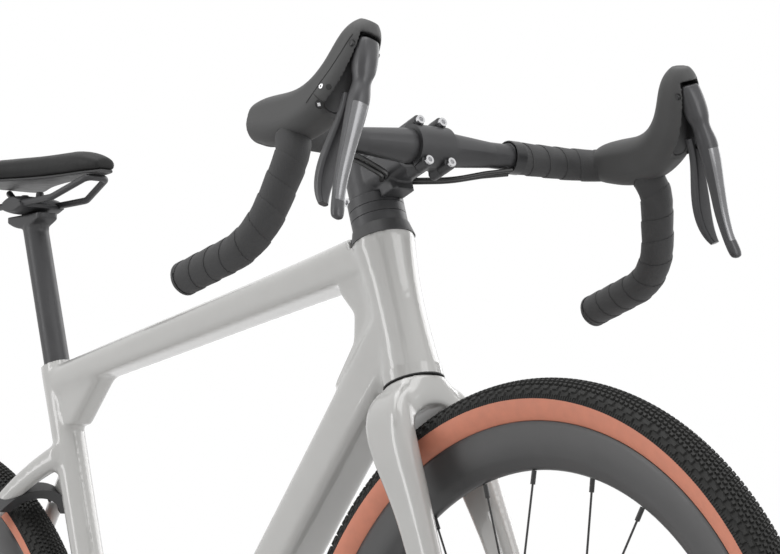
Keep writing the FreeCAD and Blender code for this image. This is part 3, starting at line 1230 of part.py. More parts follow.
def chain_route():
    """The chain's pins around its wheels, and for each wheel the angle of one of its tooth gaps."""
    wheels = chain_wheels()
    count = len(wheels)
    headings = []
    for i, (centre, teeth, sense) in enumerate(wheels):
        ahead, next_teeth, next_sense = wheels[(i + 1) % count]
        run = ahead - centre
        lean = (sense * chain_radius(teeth) - next_sense * chain_radius(next_teeth)) / run.Length
        headings.append(math.atan2(run.z, run.x) - math.asin(lean))
    pieces = []
    for i, (centre, teeth, sense) in enumerate(wheels):
        start = headings[i - 1] + sense * math.pi / 2
        sweep = (sense * (headings[i - 1] - headings[i])) % (2 * math.pi)
        pieces.append((i, chain_radius(teeth) * sweep, start))
        leave = headings[i] + sense * math.pi / 2
        first = centre + Vector(math.cos(leave), 0, math.sin(leave)) * chain_radius(teeth)
        ahead, next_teeth, next_sense = wheels[(i + 1) % count]
        arrive = headings[i] + next_sense * math.pi / 2
        last = ahead + Vector(math.cos(arrive), 0, math.sin(arrive)) * chain_radius(next_teeth)
        pieces.append((first, (last - first).Length, last))
    total = sum(piece[1] for piece in pieces)
    links = 2 * int(round(total / (2 * float(d.chain_pitch))))
    pins, gaps = [], {}
    for k in range(links):
        rest = k * total / links
        for piece in pieces:
            if rest <= piece[1]:
                break
            rest -= piece[1]
        if isinstance(piece[0], int):
            centre, teeth, sense = wheels[piece[0]]
            angle = piece[2] - sense * rest / chain_radius(teeth)
            gaps.setdefault(piece[0], math.degrees(angle))
            pins.append(centre + Vector(math.cos(angle), 0, math.sin(angle)) * chain_radius(teeth))
        else:
            pins.append(piece[0] + (piece[2] - piece[0]) * (rest / piece[1]))
    return [pin + LEFT * CHAIN_SIDE for pin in pins], [gaps[i] for i in range(count)]


def toothed_disc(centre, teeth, thickness, hole, gap_angle):
    """A sprocket on a cross axle; gap_angle is where one of its tooth gaps lies."""
    pitch = chain_radius(teeth)
    root, tip = float(d.roller_radius) + 0.1, 2.6
    flank = [(pitch - root, 2.9), (pitch, 2.2), (pitch + tip, 0.8)]
    rim = []
    for i in range(teeth):
        middle = math.radians(gap_angle) + (i + 0.5) * 2 * math.pi / teeth
        for sign, rows in ((-1, flank), (1, reversed(flank))):
            for radius, half in rows:
                angle = middle + sign * half / radius
                rim.append(Vector(radius * math.cos(angle), 0, radius * math.sin(angle)))
    half = float(thickness) / 2
    outline = Part.makePolygon(rim + rim[:1])
    outline.translate(centre - LEFT * half)
    disc = Part.Face(outline).extrude(LEFT * (2 * half))
    return disc.cut(cross_rod(centre, hole, 10.0))


def stadium(length, radius, low, high):
    """A chain plate: two round ends joined by straight sides, lying across from low to high."""
    top, bottom = Vector(0, low, radius), Vector(0, low, -radius)
    run = Vector(length, 0, 0)
    outline = Part.Wire([
        Part.LineSegment(top, top + run).toShape(),
        Part.Arc(top + run, Vector(length + radius, low, 0), bottom + run).toShape(),
        Part.LineSegment(bottom + run, bottom).toShape(),
        Part.Arc(bottom, Vector(-radius, low, 0), top).toShape(),
    ])
    return Part.Face(outline).extrude(LEFT * (high - low))


def make_chain(pins):
    """A roller chain: inner links with rollers, outer links with pins, one after the other."""
    pitch = (pins[1] - pins[0]).Length
    inside, thick = float(d.chain_inner_half), float(d.chain_plate)
    outside = inside + thick + 0.15
    far = outside + thick
    ends = [Vector(0, 0, 0), Vector(pitch, 0, 0)]
    plates = lambda low, high: [stadium(pitch, float(d.chain_plate_radius), low, high),
                                stadium(pitch, float(d.chain_plate_radius), -high, -low)]
    rollers = [cross_rod(end, d.roller_radius, inside) for end in ends]
    bores = [cross_rod(end, d.chain_pin_radius + d.running_fit, 10.0) for end in ends]
    inner = fused(plates(inside, inside + thick) + rollers).cut(Part.Compound(bores))
    outer = fused(plates(outside, far) + [cross_rod(end, d.chain_pin_radius, far + 0.2) for end in ends])
    links = []
    for k, pin in enumerate(pins):
        run = (pins[(k + 1) % len(pins)] - pin).normalize()
        link = (outer if k % 2 else inner).copy()
        link.Placement = Placement(pin, Rotation(run, LEFT, run.cross(LEFT), "XYZ"))
        links.append(link)
    finish("chain", Part.Compound(links))


def make_cassette(gap_angle):
    """Eleven cogs on a sleeve that turns on the hub."""
    start = CHAIN_SIDE - COG_INDEX * float(d.cog_spacing)
    sleeve_radius = float(d.cassette_sleeve_radius)
    low, high = -float(d.rear_hub_width) / 2 + 0.8, start + (len(COG_TEETH) - 1) * float(d.cog_spacing) + 2.0
    sleeve = turned("cassette_sleeve", (
        (d.freehub_radius + d.running_fit, 0.0), (d.cassette_sleeve_radius, 0.0),
        (d.cassette_sleeve_radius, high - low), (d.freehub_radius + d.running_fit, high - low)),
        across(REAR_AXLE + LEFT * low))
    doc.recompute()
    cogs = []
    for i, teeth in enumerate(COG_TEETH):
        centre = REAR_AXLE + LEFT * (start + i * float(d.cog_spacing))
        cogs.append(toothed_disc(centre, teeth, d.cog_thickness, sleeve_radius, gap_angle))
    finish("cassette", Part.Compound([sleeve.Shape] + cogs))


def crank_arm(side, way):
    """One crank arm with its boss and its pedal eye; side is -1 on the right, way is where it points."""
    thick = float(d.crank_arm_thickness)
    offset = side * (float(d.crank_arm_offset) + thick / 2)
    start = BRACKET + LEFT * offset
    eye = start + way * float(d.crank_length)
    inner = float(d.bracket_shell_width / 2 + d.cup_flange + d.joint_gap)
    boss = rod(BRACKET + LEFT * (side * inner), LEFT * side, d.crank_boss_radius,
               float(d.crank_arm_offset) + thick - inner)
    run = eye - start
    arm = loft([tube_section(start + run * t, run, thick, h, 4.0, 4.0)
                for t, h in ((0.0, 36.0), (0.5, 29.0), (1.0, 24.0))])
    bore = cross_rod(eye, d.pedal_axle_radius, 20.0)
    return fused([boss, arm, cross_rod(eye, d.pedal_eye_radius, thick / 2)]).cut(bore), eye


def make_cranks(gap_angle):
    """Cranks with spindle and spider, the two chainrings with their bolts, and the pedals on their axles."""
    right, right_eye = crank_arm(-1, FORWARD)
    left, left_eye = crank_arm(1, -FORWARD)
    spindle = cross_rod(BRACKET, d.spindle_radius, d.crank_arm_offset + 4.0)
    spider_out = CHAIN_SIDE + float(d.ring_thickness) / 2 + 0.1
    spider_in = CHAIN_SIDE + float(d.ring_spacing - d.ring_thickness / 2) - 0.1
    reach = float(d.bolt_circle_radius) + 7.0
    half = 7.5
    arms, holes, bolts = [], [], []
    hub = rod(BRACKET + LEFT * spider_in, -LEFT, 25.0, float(d.crank_arm_offset) + spider_in + 2.0)
    ring_bolt = bolt_body("ring_bolt", 8.0, d.ring_bolt_radius - 0.5, d.ring_bolt_radius + 1.0, 1.6)
    doc.recompute()
    for i in range(4):
        way = Vector(cosine(45 + 90 * i), 0, sine(45 + 90 * i))
        box = Part.makeBox(reach, 2 * half, spider_in - spider_out)
        side_way = LEFT.cross(way)
        corner = BRACKET + LEFT * spider_out - side_way * half
        box.Placement = Placement(corner, Rotation(way, side_way, LEFT, "XYZ"))
        arms.append(box)
        rows = ((d.bolt_circle_radius, CHAIN_SIDE - float(d.ring_thickness) / 2, -LEFT),
                (d.small_bolt_circle_radius, CHAIN_SIDE + float(d.ring_spacing + d.ring_thickness / 2), LEFT))
        for circle, face, axis in rows:
            spot = BRACKET + way * float(circle) + LEFT * face
            holes.append(rod(spot - axis * 8.0, axis, d.ring_bolt_radius - 0.5, 8.0))
            copy = ring_bolt.Shape.copy()
            copy.Placement = along(spot, axis)
            bolts.append(copy)
    holes = Part.Compound(holes)
    body = fused([right, spindle, hub] + arms)
    finish("crank_right", body.cut(holes))
    finish("crank_left", left.cut(spindle))
    rings = []
    for teeth, shift, circle in ((d.chainring_teeth, 0.0, d.bolt_circle_radius),
                                 (d.small_ring_teeth, d.ring_spacing, d.small_bolt_circle_radius)):
        centre = BRACKET + LEFT * (CHAIN_SIDE + float(shift))
        hole = float(circle) - 7.0
        ring = toothed_disc(centre, int(round(float(teeth))), d.ring_thickness, hole, gap_angle)
        rings.append(ring.cut(holes))
    finish("chainrings", Part.Compound(rings + bolts))
    axles = []
    for side, eye, name in ((-1, right_eye, "pedal_right"), (1, left_eye, "pedal_left")):
        inner = eye - LEFT * (side * float(d.crank_arm_thickness) / 2)
        length = float(d.crank_arm_thickness + d.pedal_width)
        axles.append(rod(inner, LEFT * side, d.pedal_axle_radius, length))
        make_pedal(name, eye, side)
    finish("pedal_axles", Part.Compound(axles))


def make_pedal(label, eye, side):
    """A platform pedal: a rounded frame round a sleeve that turns on its axle."""
    length, height = float(d.pedal_length), float(d.pedal_height)
    width = float(d.pedal_width) - 4.0
    gap = float(d.crank_arm_thickness) / 2 + 3.0
    low = eye.y + side * gap
    start = min(low, low + side * width)
    body = Part.makeBox(length, width, height, Vector(eye.x - length / 2, start, eye.z - height / 2))
    body = body.makeFillet(9.0, [edge for edge in body.Edges if abs(edge.Length - height) < 0.1])
    window_length, window_place, rail = 13.0, 17.5, 9.0
    windows = []
    for sign in (-1, 1):
        corner = Vector(eye.x + sign * window_place - window_length / 2, start + rail, eye.z - height / 2)
        windows.append(Part.makeBox(window_length, width - 2 * rail, height, corner))
    bore = rod(Vector(eye.x, start - 5.0, eye.z), LEFT, d.pedal_axle_radius + d.running_fit, width + 10.0)
    finish(label, body.cut(Part.Compound(windows + [bore])))


# Derailleurs
def link_cheeks(first, last, pin_axis, inner, half_height, overhang):
    """Two side plates from pin to pin, on both sides of the lugs."""
    heading = (last - first).normalize()
    tall = pin_axis.cross(heading)
    thick = float(d.link_cheek)
    holes = [rod(pin - pin_axis * 30.0, pin_axis, d.link_pin_radius + d.running_fit, 60.0)
             for pin in (first, last)]
    cheeks = []
    for low in (inner, -inner - thick):
        base = first - heading * overhang - tall * half_height + pin_axis * low
        box = Part.makeBox((last - first).Length + 2 * overhang, 2 * half_height, thick)
        box.Placement = Placement(base, Rotation(heading, tall, pin_axis, "XYZ"))
        cheeks.append(box.cut(Part.Compound(holes)))
    return cheeks


def pivot_lug(pin, heading, pin_axis, back, half_height, half_width, pin_half):
    """A lug that reaches past a pin, with the pin through it."""
    tall = pin_axis.cross(heading)
    box = Part.makeBox(back + 3.5, 2 * half_height, 2 * half_width)
    base = pin - heading * back - tall * half_height - pin_axis * half_width
    box.Placement = Placement(base, Rotation(heading, tall, pin_axis, "XYZ"))
    return [box, rod(pin - pin_axis * pin_half, pin_axis, d.link_pin_radius, 2 * pin_half)]


def web(first, last, first_radius, last_radius, low, high):
    """A flat bar with round ends between two points, lying across from low to high."""
    run = last - first
    side = LEFT.cross(run).normalize()
    a, b = side * float(first_radius), side * float(last_radius)
    outline = Part.makePolygon([first + a, last + b, last - b, first - a, first + a])
    outline.translate(LEFT * low)
    bar = Part.Face(outline).extrude(LEFT * (high - low))
    ends = [rod(centre + LEFT * low, LEFT, radius, high - low)
            for centre, radius in ((first, first_radius), (last, last_radius))]
    return fused([bar] + ends)


def make_rear_derailleur(tension_gap, guide_gap):
    """Hanger, body, links, knuckle, cage and the two pulleys."""
    face = -float(d.rear_hub_width / 2 + d.rear_dropout_thickness)
    outer_face = face - float(d.hanger_thickness)
    post = 5.0
    hanger = web(REAR_AXLE, HANGER_HOLE, 13.0, 10.0, outer_face, face)
    holes = Part.Compound([cross_rod(REAR_AXLE, d.axle_radius, 200.0), cross_rod(HANGER_HOLE, post, 200.0)])
    finish("derailleur_hanger", hanger.cut(holes))
    side = LEFT * LINK_SIDE
    inset, radius = float(d.link_pin_inset), d.knuckle_radius
    first_pin = HANGER_HOLE + LINK_WAY * inset + side
    last_pin = CAGE_PIVOT - LINK_WAY * inset + side
    far = LINK_SIDE - 7.0
    barrel = rod(HANGER_HOLE + LEFT * far, LEFT, radius, outer_face - 0.1 - far)
    stub = rod(HANGER_HOLE + LEFT * (outer_face - 0.2), LEFT, post, float(d.hanger_thickness))
    lug = pivot_lug(first_pin, LINK_WAY, LINK_PIN_AXIS, inset, 3.5, 4.0, 7.3)
    finish("rear_derailleur_body", fused([barrel, stub] + lug))
    cheeks = link_cheeks(first_pin, last_pin, LINK_PIN_AXIS, 4.3, 3.5, 4.0)
    finish("rear_derailleur_links", Part.Compound(cheeks))
    inner_end = CHAIN_SIDE - 11.6
    knuckle = rod(CAGE_PIVOT + LEFT * far, LEFT, radius, inner_end - far)
    lug = pivot_lug(last_pin, -LINK_WAY, LINK_PIN_AXIS, inset, 3.5, 4.0, 7.3)
    cage_axle = 4.0
    socket = rod(CAGE_PIVOT + LEFT * (inner_end - 26.0), LEFT, cage_axle + float(d.running_fit), 40.0)
    finish("rear_derailleur_knuckle", fused([knuckle] + lug).cut(socket))
    plate_gap, plate_thick = 6.9, 1.4
    low, high = CHAIN_SIDE - plate_gap - plate_thick, CHAIN_SIDE + plate_gap
    pieces = [web(CAGE_PIVOT, GUIDE, 9.0, 8.0, low, low + plate_thick),
              web(GUIDE, TENSION, 8.0, 8.0, low, low + plate_thick),
              web(GUIDE, TENSION, 8.0, 8.0, high, high + plate_thick),
              rod(CAGE_PIVOT + LEFT * (low + 0.5), -LEFT, cage_axle, 26.0)]
    pieces += [rod(spot + LEFT * low, LEFT, 2.5, high + plate_thick - low) for spot in (GUIDE, TENSION)]
    finish("rear_derailleur_cage", fused(pieces))
    teeth = int(round(float(d.pulley_teeth)))
    hole = 2.5 + float(d.running_fit)
    for name, centre, gap in (("guide_pulley", GUIDE, guide_gap), ("tension_pulley", TENSION, tension_gap)):
        middle = centre + LEFT * CHAIN_SIDE
        wheel = toothed_disc(middle, teeth, d.cog_thickness, hole, gap)
        hub = cross_rod(middle, 6.5, plate_gap - float(d.joint_gap)).cut(cross_rod(middle, hole, 20.0))
        finish(name, fused([wheel, hub]))


def make_front_derailleur(frame):
    """A body on the seat tube, two links, and the cage round the chain."""
    middle = seat_point(128.0).x
    first_pin, last_pin = Vector(middle, -31.5, 404.0), Vector(middle, -38.0, 384.0)
    body = Part.makeBox(28.0, 18.0, 20.0, Vector(middle - 14.0, -25.0, 392.0))
    body = body.makeFillet(3.0, [edge for edge in body.Edges if edge.BoundBox.YMax < -24.0])
    lug = pivot_lug(first_pin, -LEFT, FORWARD, 8.0, 3.5, 5.7, 9.0)
    finish("front_derailleur_body", fused([body] + lug).cut(frame.Shape))
    finish("front_derailleur_links", Part.Compound(link_cheeks(first_pin, last_pin, FORWARD, 6.0, 3.5, 4.0)))
    clear = chain_radius(int(round(float(d.chainring_teeth)))) + 9.0
    inner_side, outer_side, thick = CHAIN_SIDE + 5.2, CHAIN_SIDE - 6.8, 1.2
    back, front, top = middle - 30.0, middle + 34.0, 394.0
    shapes = []
    for low, bottom in ((inner_side, 350.0), (outer_side, 345.0)):
        panel = Part.makeBox(front - back, thick, top - bottom, Vector(back, low, bottom))
        panel = panel.makeFillet(8.0, [edge for edge in panel.Edges if abs(edge.Length - thick) < 0.01])
        shapes.append(panel)
    shapes[1] = shapes[1].cut(cross_rod(BRACKET, clear, 100.0))
    width = inner_side - outer_side
    corner = Vector(back + 8.0, outer_side + thick / 2, top - 2.0)
    shapes.append(Part.makeBox(front - back - 16.0, width, 2.0, corner))
    shapes.append(rod(Vector(back + 5.0, outer_side, 360.0), LEFT, 2.0, width + thick))
    shapes += pivot_lug(last_pin, LEFT, FORWARD, last_pin.y - inner_side, 3.5, 5.7, 9.0)
    finish("front_derailleur_cage", fused(shapes))


def make_drive(frame):
    """Everything that the chain ties together."""
    pins, gaps = chain_route()
    make_chain(pins)
    make_cassette(gaps[0])
    make_cranks(gaps[1])
    make_rear_derailleur(gaps[2], gaps[3])
    make_front_derailleur(frame)


def make_bike():
    """Builds every piece of the bike."""
    frame = make_frame()
    make_frame_details(frame)
    make_headset()
    make_headset_cover(frame)
    fork = make_fork()
    make_steerer_stack()
    stem = make_stem()
    make_handlebar()
    make_controls()
    make_control_lines(stem)
    make_seat()
    make_wheels()
    make_brakes(fork, frame)
    make_drive(frame)


def write_parts():
    """Checks every object and writes one file for each piece."""
    doc.recompute()
    faults = [item.Name for item in doc.Objects if set(item.State) & {"Invalid", "Error"}]
    for label, piece in nodes.items():
        if piece.Shape.isNull() or not piece.Shape.isValid() or not piece.Shape.Solids:
            faults.append(label)
    if faults:
        raise RuntimeError("failed objects: " + ", ".join(faults))
    os.makedirs("parts", exist_ok=True)
    for label, piece in nodes.items():
        piece.Shape.exportStep("parts/" + label + ".step")
    print(len(nodes), "pieces written")


make_bike()
write_parts()
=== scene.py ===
"""Dresses the packed gravel bike: moulded shells, wheels, wound tape, saddle, finishes and a plain studio."""

import logging
import math
from dataclasses import dataclass
from enum import Enum
from functools import cache

import bmesh
import bpy
from bmesh.types import BMesh
from bpy.types import ID, Material, Mesh, Node, NodeTree, Object
from mathutils import Matrix, Vector
from mathutils.bvhtree import BVHTree

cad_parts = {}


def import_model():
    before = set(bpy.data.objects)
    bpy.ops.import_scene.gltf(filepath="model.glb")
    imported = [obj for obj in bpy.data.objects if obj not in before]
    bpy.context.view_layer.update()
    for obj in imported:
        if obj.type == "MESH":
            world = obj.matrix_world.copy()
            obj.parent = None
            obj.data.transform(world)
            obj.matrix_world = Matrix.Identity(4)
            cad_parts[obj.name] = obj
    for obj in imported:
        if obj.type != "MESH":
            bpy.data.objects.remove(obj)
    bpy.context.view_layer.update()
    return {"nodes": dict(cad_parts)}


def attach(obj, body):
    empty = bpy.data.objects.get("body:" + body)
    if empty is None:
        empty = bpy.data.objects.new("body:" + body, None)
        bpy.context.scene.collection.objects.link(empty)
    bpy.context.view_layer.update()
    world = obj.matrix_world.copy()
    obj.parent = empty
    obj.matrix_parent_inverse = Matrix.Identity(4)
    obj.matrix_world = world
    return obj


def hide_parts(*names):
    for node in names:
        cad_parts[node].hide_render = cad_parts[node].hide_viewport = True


LOG = logging.getLogger("gravel_bike")
LOG.setLevel(logging.INFO)
MM = 0.001
FULL_TURN = 2 * math.pi
ACROSS = Vector((0.0, 1.0, 0.0))
JOIN_DISTANCE = 0.01
SLIVER = 0.02
SMOOTHING = 0.5
NUMBER, COLOUR = "NodeSocketFloat", "NodeSocketColor"
Spot = tuple[float, float]
Triple = tuple[float, float, float]
Nodes = dict[str, Object]
Sockets = tuple[tuple[str, str], ...]
Wire = tuple[Node, str | int, Node, str | int]


def set_inputs(node: Node, values: dict[str | int, object]) -> None:
    """Sets the inputs of a shader node.

    Args:
        node: The node.
        values: The value of each input.
    """
    for label, value in values.items():
        node.inputs[label].default_value = value


def add_node(tree: NodeTree, kind: str, values: dict[str | int, object] | None = None,
             **settings: object) -> Node:
    """Adds a shader node.

    Args:
        tree: The tree that takes it.
        kind: Its type, without the words that all shader nodes start with.
        values: The values of its inputs.
        settings: Its other settings.

    Returns:
        The node.
    """
    node = tree.nodes.new("ShaderNode" + kind)
    for label, value in settings.items():
        setattr(node, label, value)
    set_inputs(node, values or {})
    return node


def wire(tree: NodeTree, *wires: Wire) -> None:
    """Joins shader nodes.

    Args:
        tree: The tree that holds them.
        wires: For each join a node, its output, the next node and that node's input.
    """
    for start, output, end, entry in wires:
        tree.links.new(start.outputs[output], end.inputs[entry])


def add_seen(tree: NodeTree) -> Node:
    """Tells the rays that show a surround, in view or in a reflection, from those that only bring light.

    Args:
        tree: The tree that takes the nodes.

    Returns:
        The node whose output is 1 for the rays that show the surround.
    """
    rays = add_node(tree, "LightPath")
    first = add_node(tree, "Math", operation="ADD", use_clamp=True)
    total = add_node(tree, "Math", operation="ADD", use_clamp=True)
    wire(tree, (rays, "Is Camera Ray", first, 0), (rays, "Is Glossy Ray", first, 1),
         (first, 0, total, 0), (rays, "Is Transmission Ray", total, 1))
    return total


class Relief(Enum):
    """Fine relief of a surface, each made by one shared node group."""

    GRAIN = "fine_grain"
    DIMPLES = "small_dimples"
    BRUSHED = "brushed_lines"


def new_group(name: str, inputs: Sockets, outputs: Sockets) -> tuple:
    """Starts a shared node group.

    Args:
        name: The group's name.
        inputs: Name and socket type of each input.
        outputs: Name and socket type of each output.

    Returns:
        The group, its input node and its output node.
    """
    tree = bpy.data.node_groups.new(name, "ShaderNodeTree")
    for way, sockets in (("INPUT", inputs), ("OUTPUT", outputs)):
        for label, kind in sockets:
            tree.interface.new_socket(label, in_out=way, socket_type=kind)
    return tree, tree.nodes.new("NodeGroupInput"), tree.nodes.new("NodeGroupOutput")


@cache
def mottle_group() -> NodeTree:
    """A slow drift of colour and gloss over a surface, built once.

    Returns:
        The group, with Colour and Roughness as outputs.
    """
    values = tuple((label, NUMBER) for label in ("Scale", "Contrast", "Roughness", "Spread"))
    tree, source, sink = new_group("soft_mottle", (("Colour", COLOUR), *values),
                                   (("Colour", COLOUR), ("Roughness", NUMBER)))
    place = add_node(tree, "TexCoord")
    noise = add_node(tree, "TexNoise", {"Detail": 5.0})
    swing = add_node(tree, "MapRange", {"From Min": 0.3, "From Max": 0.7, "To Min": -1.0, "To Max": 1.0})
    gain = add_node(tree, "Math", {2: 1.0}, operation="MULTIPLY_ADD")
    tint = add_node(tree, "VectorMath", operation="SCALE")
    gloss = add_node(tree, "Math", operation="MULTIPLY_ADD")
    wire(tree, (place, "Object", noise, "Vector"), (source, "Scale", noise, "Scale"),
         (noise, "Fac", swing, "Value"), (swing, "Result", gain, 0), (source, "Contrast", gain, 1),
         (source, "Colour", tint, 0), (gain, 0, tint, "Scale"), (swing, "Result", gloss, 0),
         (source, "Spread", gloss, 1), (source, "Roughness", gloss, 2), (tint, 0, sink, "Colour"),
         (gloss, 0, sink, "Roughness"))
    return tree


@cache
def relief_group(kind: Relief) -> NodeTree:
    """A fine relief, built once.

    Args:
        kind: Which relief.

    Returns:
        The group, with Height as output.
    """
    tree, source, sink = new_group(kind.value, (("Scale", NUMBER),), (("Height", NUMBER),))
    place = add_node(tree, "TexCoord")
    if kind is Relief.DIMPLES:
        pattern, result = add_node(tree, "TexVoronoi", {"Randomness": 0.35}), "Distance"
    else:
        pattern, result = add_node(tree, "TexNoise", {"Detail": 3.0}), "Fac"
    stretch = add_node(tree, "Mapping")
    if kind is Relief.BRUSHED:
        set_inputs(stretch, {"Scale": (1.0, 0.06, 1.0)})
    wire(tree, (place, "Object", stretch, "Vector"), (stretch, "Vector", pattern, "Vector"),
         (source, "Scale", pattern, "Scale"), (pattern, result, sink, "Height"))
    return tree


@dataclass(frozen=True)
class Finish:
    """A surface finish: its colour, gloss and fine relief."""

    name: str
    colour: Triple
    roughness: float
    metallic: float = 0.0
    contrast: float = 0.06
    spread: float = 0.05
    mottle_scale: float = 60.0
    relief: Relief = Relief.GRAIN
    relief_scale: float = 1500.0
    relief_depth: float = 0.02
    coat: float = 0.0
    coat_roughness: float = 0.05
    specular: float = 0.5

    @cache
    def material(self) -> Material:
        """The finish as a material, made once.

        Returns:
            The material of this finish.
        """
        material = bpy.data.materials.new(self.name + "_finish")
        material.use_nodes = True
        tree = material.node_tree
        shader = tree.nodes["Principled BSDF"]
        set_inputs(shader, {"Metallic": self.metallic, "Coat Weight": self.coat,
                            "Coat Roughness": self.coat_roughness, "Specular IOR Level": self.specular})
        mottle = add_node(tree, "Group", {"Colour": (*self.colour, 1.0), "Scale": self.mottle_scale,
                                          "Contrast": self.contrast, "Roughness": self.roughness,
                                          "Spread": self.spread}, node_tree=mottle_group())
        relief = add_node(tree, "Group", {"Scale": self.relief_scale}, node_tree=relief_group(self.relief))
        bump = add_node(tree, "Bump", {"Distance": self.relief_depth * MM})
        wire(tree, (mottle, "Colour", shader, "Base Color"), (mottle, "Roughness", shader, "Roughness"),
             (relief, "Height", bump, "Height"), (bump, "Normal", shader, "Normal"))
        return material


FRAME_LACQUER = Finish("frame_lacquer", (0.5, 0.495, 0.48), 0.32, contrast=0.015, spread=0.03,
                       mottle_scale=35.0, relief_scale=700.0, relief_depth=0.003, coat=1.0,
                       coat_roughness=0.03)
BLACK_ALLOY = Finish("black_alloy", (0.05, 0.05, 0.052), 0.42, metallic=0.35, relief_depth=0.01)
DARK_ALLOY = Finish("dark_alloy", (0.075, 0.075, 0.08), 0.36, metallic=0.6, relief=Relief.BRUSHED,
                    relief_depth=0.01)
BLACK_PLASTIC = Finish("black_plastic", (0.035, 0.035, 0.036), 0.5, relief_scale=2200.0, relief_depth=0.03)
LEVER_SATIN = Finish("lever_satin", (0.06, 0.06, 0.063), 0.34, metallic=0.3, relief_depth=0.006)
HOOD_RUBBER = Finish("hood_rubber", (0.062, 0.062, 0.062), 0.62, contrast=0.08, relief=Relief.DIMPLES,
                     relief_scale=900.0, relief_depth=0.05)
TAPE_FOAM = Finish("tape_foam", (0.045, 0.045, 0.046), 0.7, contrast=0.12, relief=Relief.DIMPLES,
                   relief_scale=620.0, relief_depth=0.18)
HOSE_JACKET = Finish("hose_jacket", (0.018, 0.018, 0.018), 0.35, relief_depth=0.01)
TREAD_RUBBER = Finish("tread_rubber", (0.016, 0.016, 0.015), 0.66, contrast=0.2, mottle_scale=140.0,
                      relief_depth=0.05, specular=0.35)
TAN_WALL = Finish("tan_wall", (0.69, 0.26, 0.168), 0.6, contrast=0.05, mottle_scale=90.0,
                  relief=Relief.BRUSHED, relief_scale=1300.0, relief_depth=0.04)
RIM_CARBON = Finish("rim_carbon", (0.055, 0.055, 0.056), 0.36, contrast=0.1, mottle_scale=25.0,
                    relief=Relief.BRUSHED, relief_scale=500.0, relief_depth=0.008)
SPOKE_BLACK = Finish("spoke_black", (0.045, 0.045, 0.045), 0.35, metallic=0.5, relief_depth=0.004)
BRIGHT_STEEL = Finish("bright_steel", (0.62, 0.62, 0.63), 0.25, metallic=1.0, relief=Relief.BRUSHED,
                      relief_scale=2500.0, relief_depth=0.006)
DISC_STEEL = Finish("disc_steel", (0.5, 0.5, 0.5), 0.32, metallic=1.0, relief=Relief.BRUSHED,
                    relief_scale=2000.0, relief_depth=0.012)
OILED_STEEL = Finish("oiled_steel", (0.33, 0.33, 0.34), 0.3, metallic=1.0, contrast=0.15, relief_depth=0.008)
# A lighter, glossier copy of the lever finish: painted highlight on the blade's front.
LEVER_PAINTED_HIGHLIGHT = Finish("lever_painted_highlight", (0.2, 0.2, 0.205), 0.22, metallic=0.75, relief=Relief.BRUSHED,
                      relief_depth=0.004)
# Near-black, darker than any black part: painted shade for the gaps, grooves and holes that the head seal,
# bearings, hood seams, port and pocket fill.
PAINTED_SHADE_BLACK = Finish("painted_shade_black", (0.008, 0.008, 0.008), 0.55)
BAND_VINYL = Finish("band_vinyl", (0.02, 0.02, 0.021), 0.3, relief_depth=0.01)
SADDLE_COVER = Finish("saddle_cover", (0.012, 0.012, 0.012), 0.52, relief=Relief.DIMPLES, relief_scale=1100.0,
                      relief_depth=0.05, specular=0.25)
PALE_FLOOR = Finish("pale_floor", (0.82, 0.82, 0.82), 0.7, contrast=0.01)

NODE_FINISHES: dict[Finish, tuple[str, ...]] = {
    FRAME_LACQUER: ("frame", "fork"),
    BLACK_ALLOY: ("stem", "stem_faceplate", "headset_spacers", "steerer_cap", "handlebar", "seat_post",
                  "saddle_clamp", "saddle_rails", "front_hub", "rear_hub", "front_axle", "rear_axle",
                  "seat_clamp_wedge"),
    DARK_ALLOY: ("crank_right", "crank_left", "chainrings", "derailleur_hanger", "rear_derailleur_body",
                 "rear_derailleur_links", "rear_derailleur_knuckle", "rear_derailleur_cage",
                 "front_derailleur_body", "front_derailleur_links", "front_derailleur_cage", "front_caliper",
                 "rear_caliper"),
    BLACK_PLASTIC: ("headset_cover", "stay_bridge", "bar_end_plugs", "lever_bodies", "saddle_shell",
                    "pedal_left", "pedal_right", "guide_pulley", "tension_pulley"),
    LEVER_SATIN: ("brake_lever_left", "brake_lever_right", "shift_paddle_left", "shift_paddle_right"),
    HOOD_RUBBER: ("hood_left", "hood_right"),
    TAPE_FOAM: ("bar_tape",),
    HOSE_JACKET: ("control_lines",),
    # The bearings show only in the head tube gap; they are near-black as painted shade of that gap.
    PAINTED_SHADE_BLACK: ("frame_bearings",),
    TREAD_RUBBER: ("front_tyre", "rear_tyre"),
    RIM_CARBON: ("front_rim", "rear_rim"),
    SPOKE_BLACK: ("front_spokes", "rear_spokes"),
    BRIGHT_STEEL: ("stem_bolts", "bridge_bolts", "pedal_axles"),
    DISC_STEEL: ("front_rotor", "rear_rotor"),
    OILED_STEEL: ("chain", "cassette"),
    SADDLE_COVER: ("saddle_cushion",),
}


def as_mesh(name: str, form: BMesh) -> Mesh:
    """Turns a bmesh into a mesh.

    Args:
        name: The mesh's name.
        form: The shape; it is used up.

    Returns:
        The mesh.
    """
    mesh = bpy.data.meshes.new(name)
    form.to_mesh(mesh)
    form.free()
    return mesh


def add_object(name: str, data: ID) -> Object:
    """Puts a new object into the scene.

    Args:
        name: The object's name.
        data: Its mesh, lamp or lens.

    Returns:
        The new object.
    """
    made = bpy.data.objects.new(name, data)
    bpy.context.scene.collection.objects.link(made)
    return made


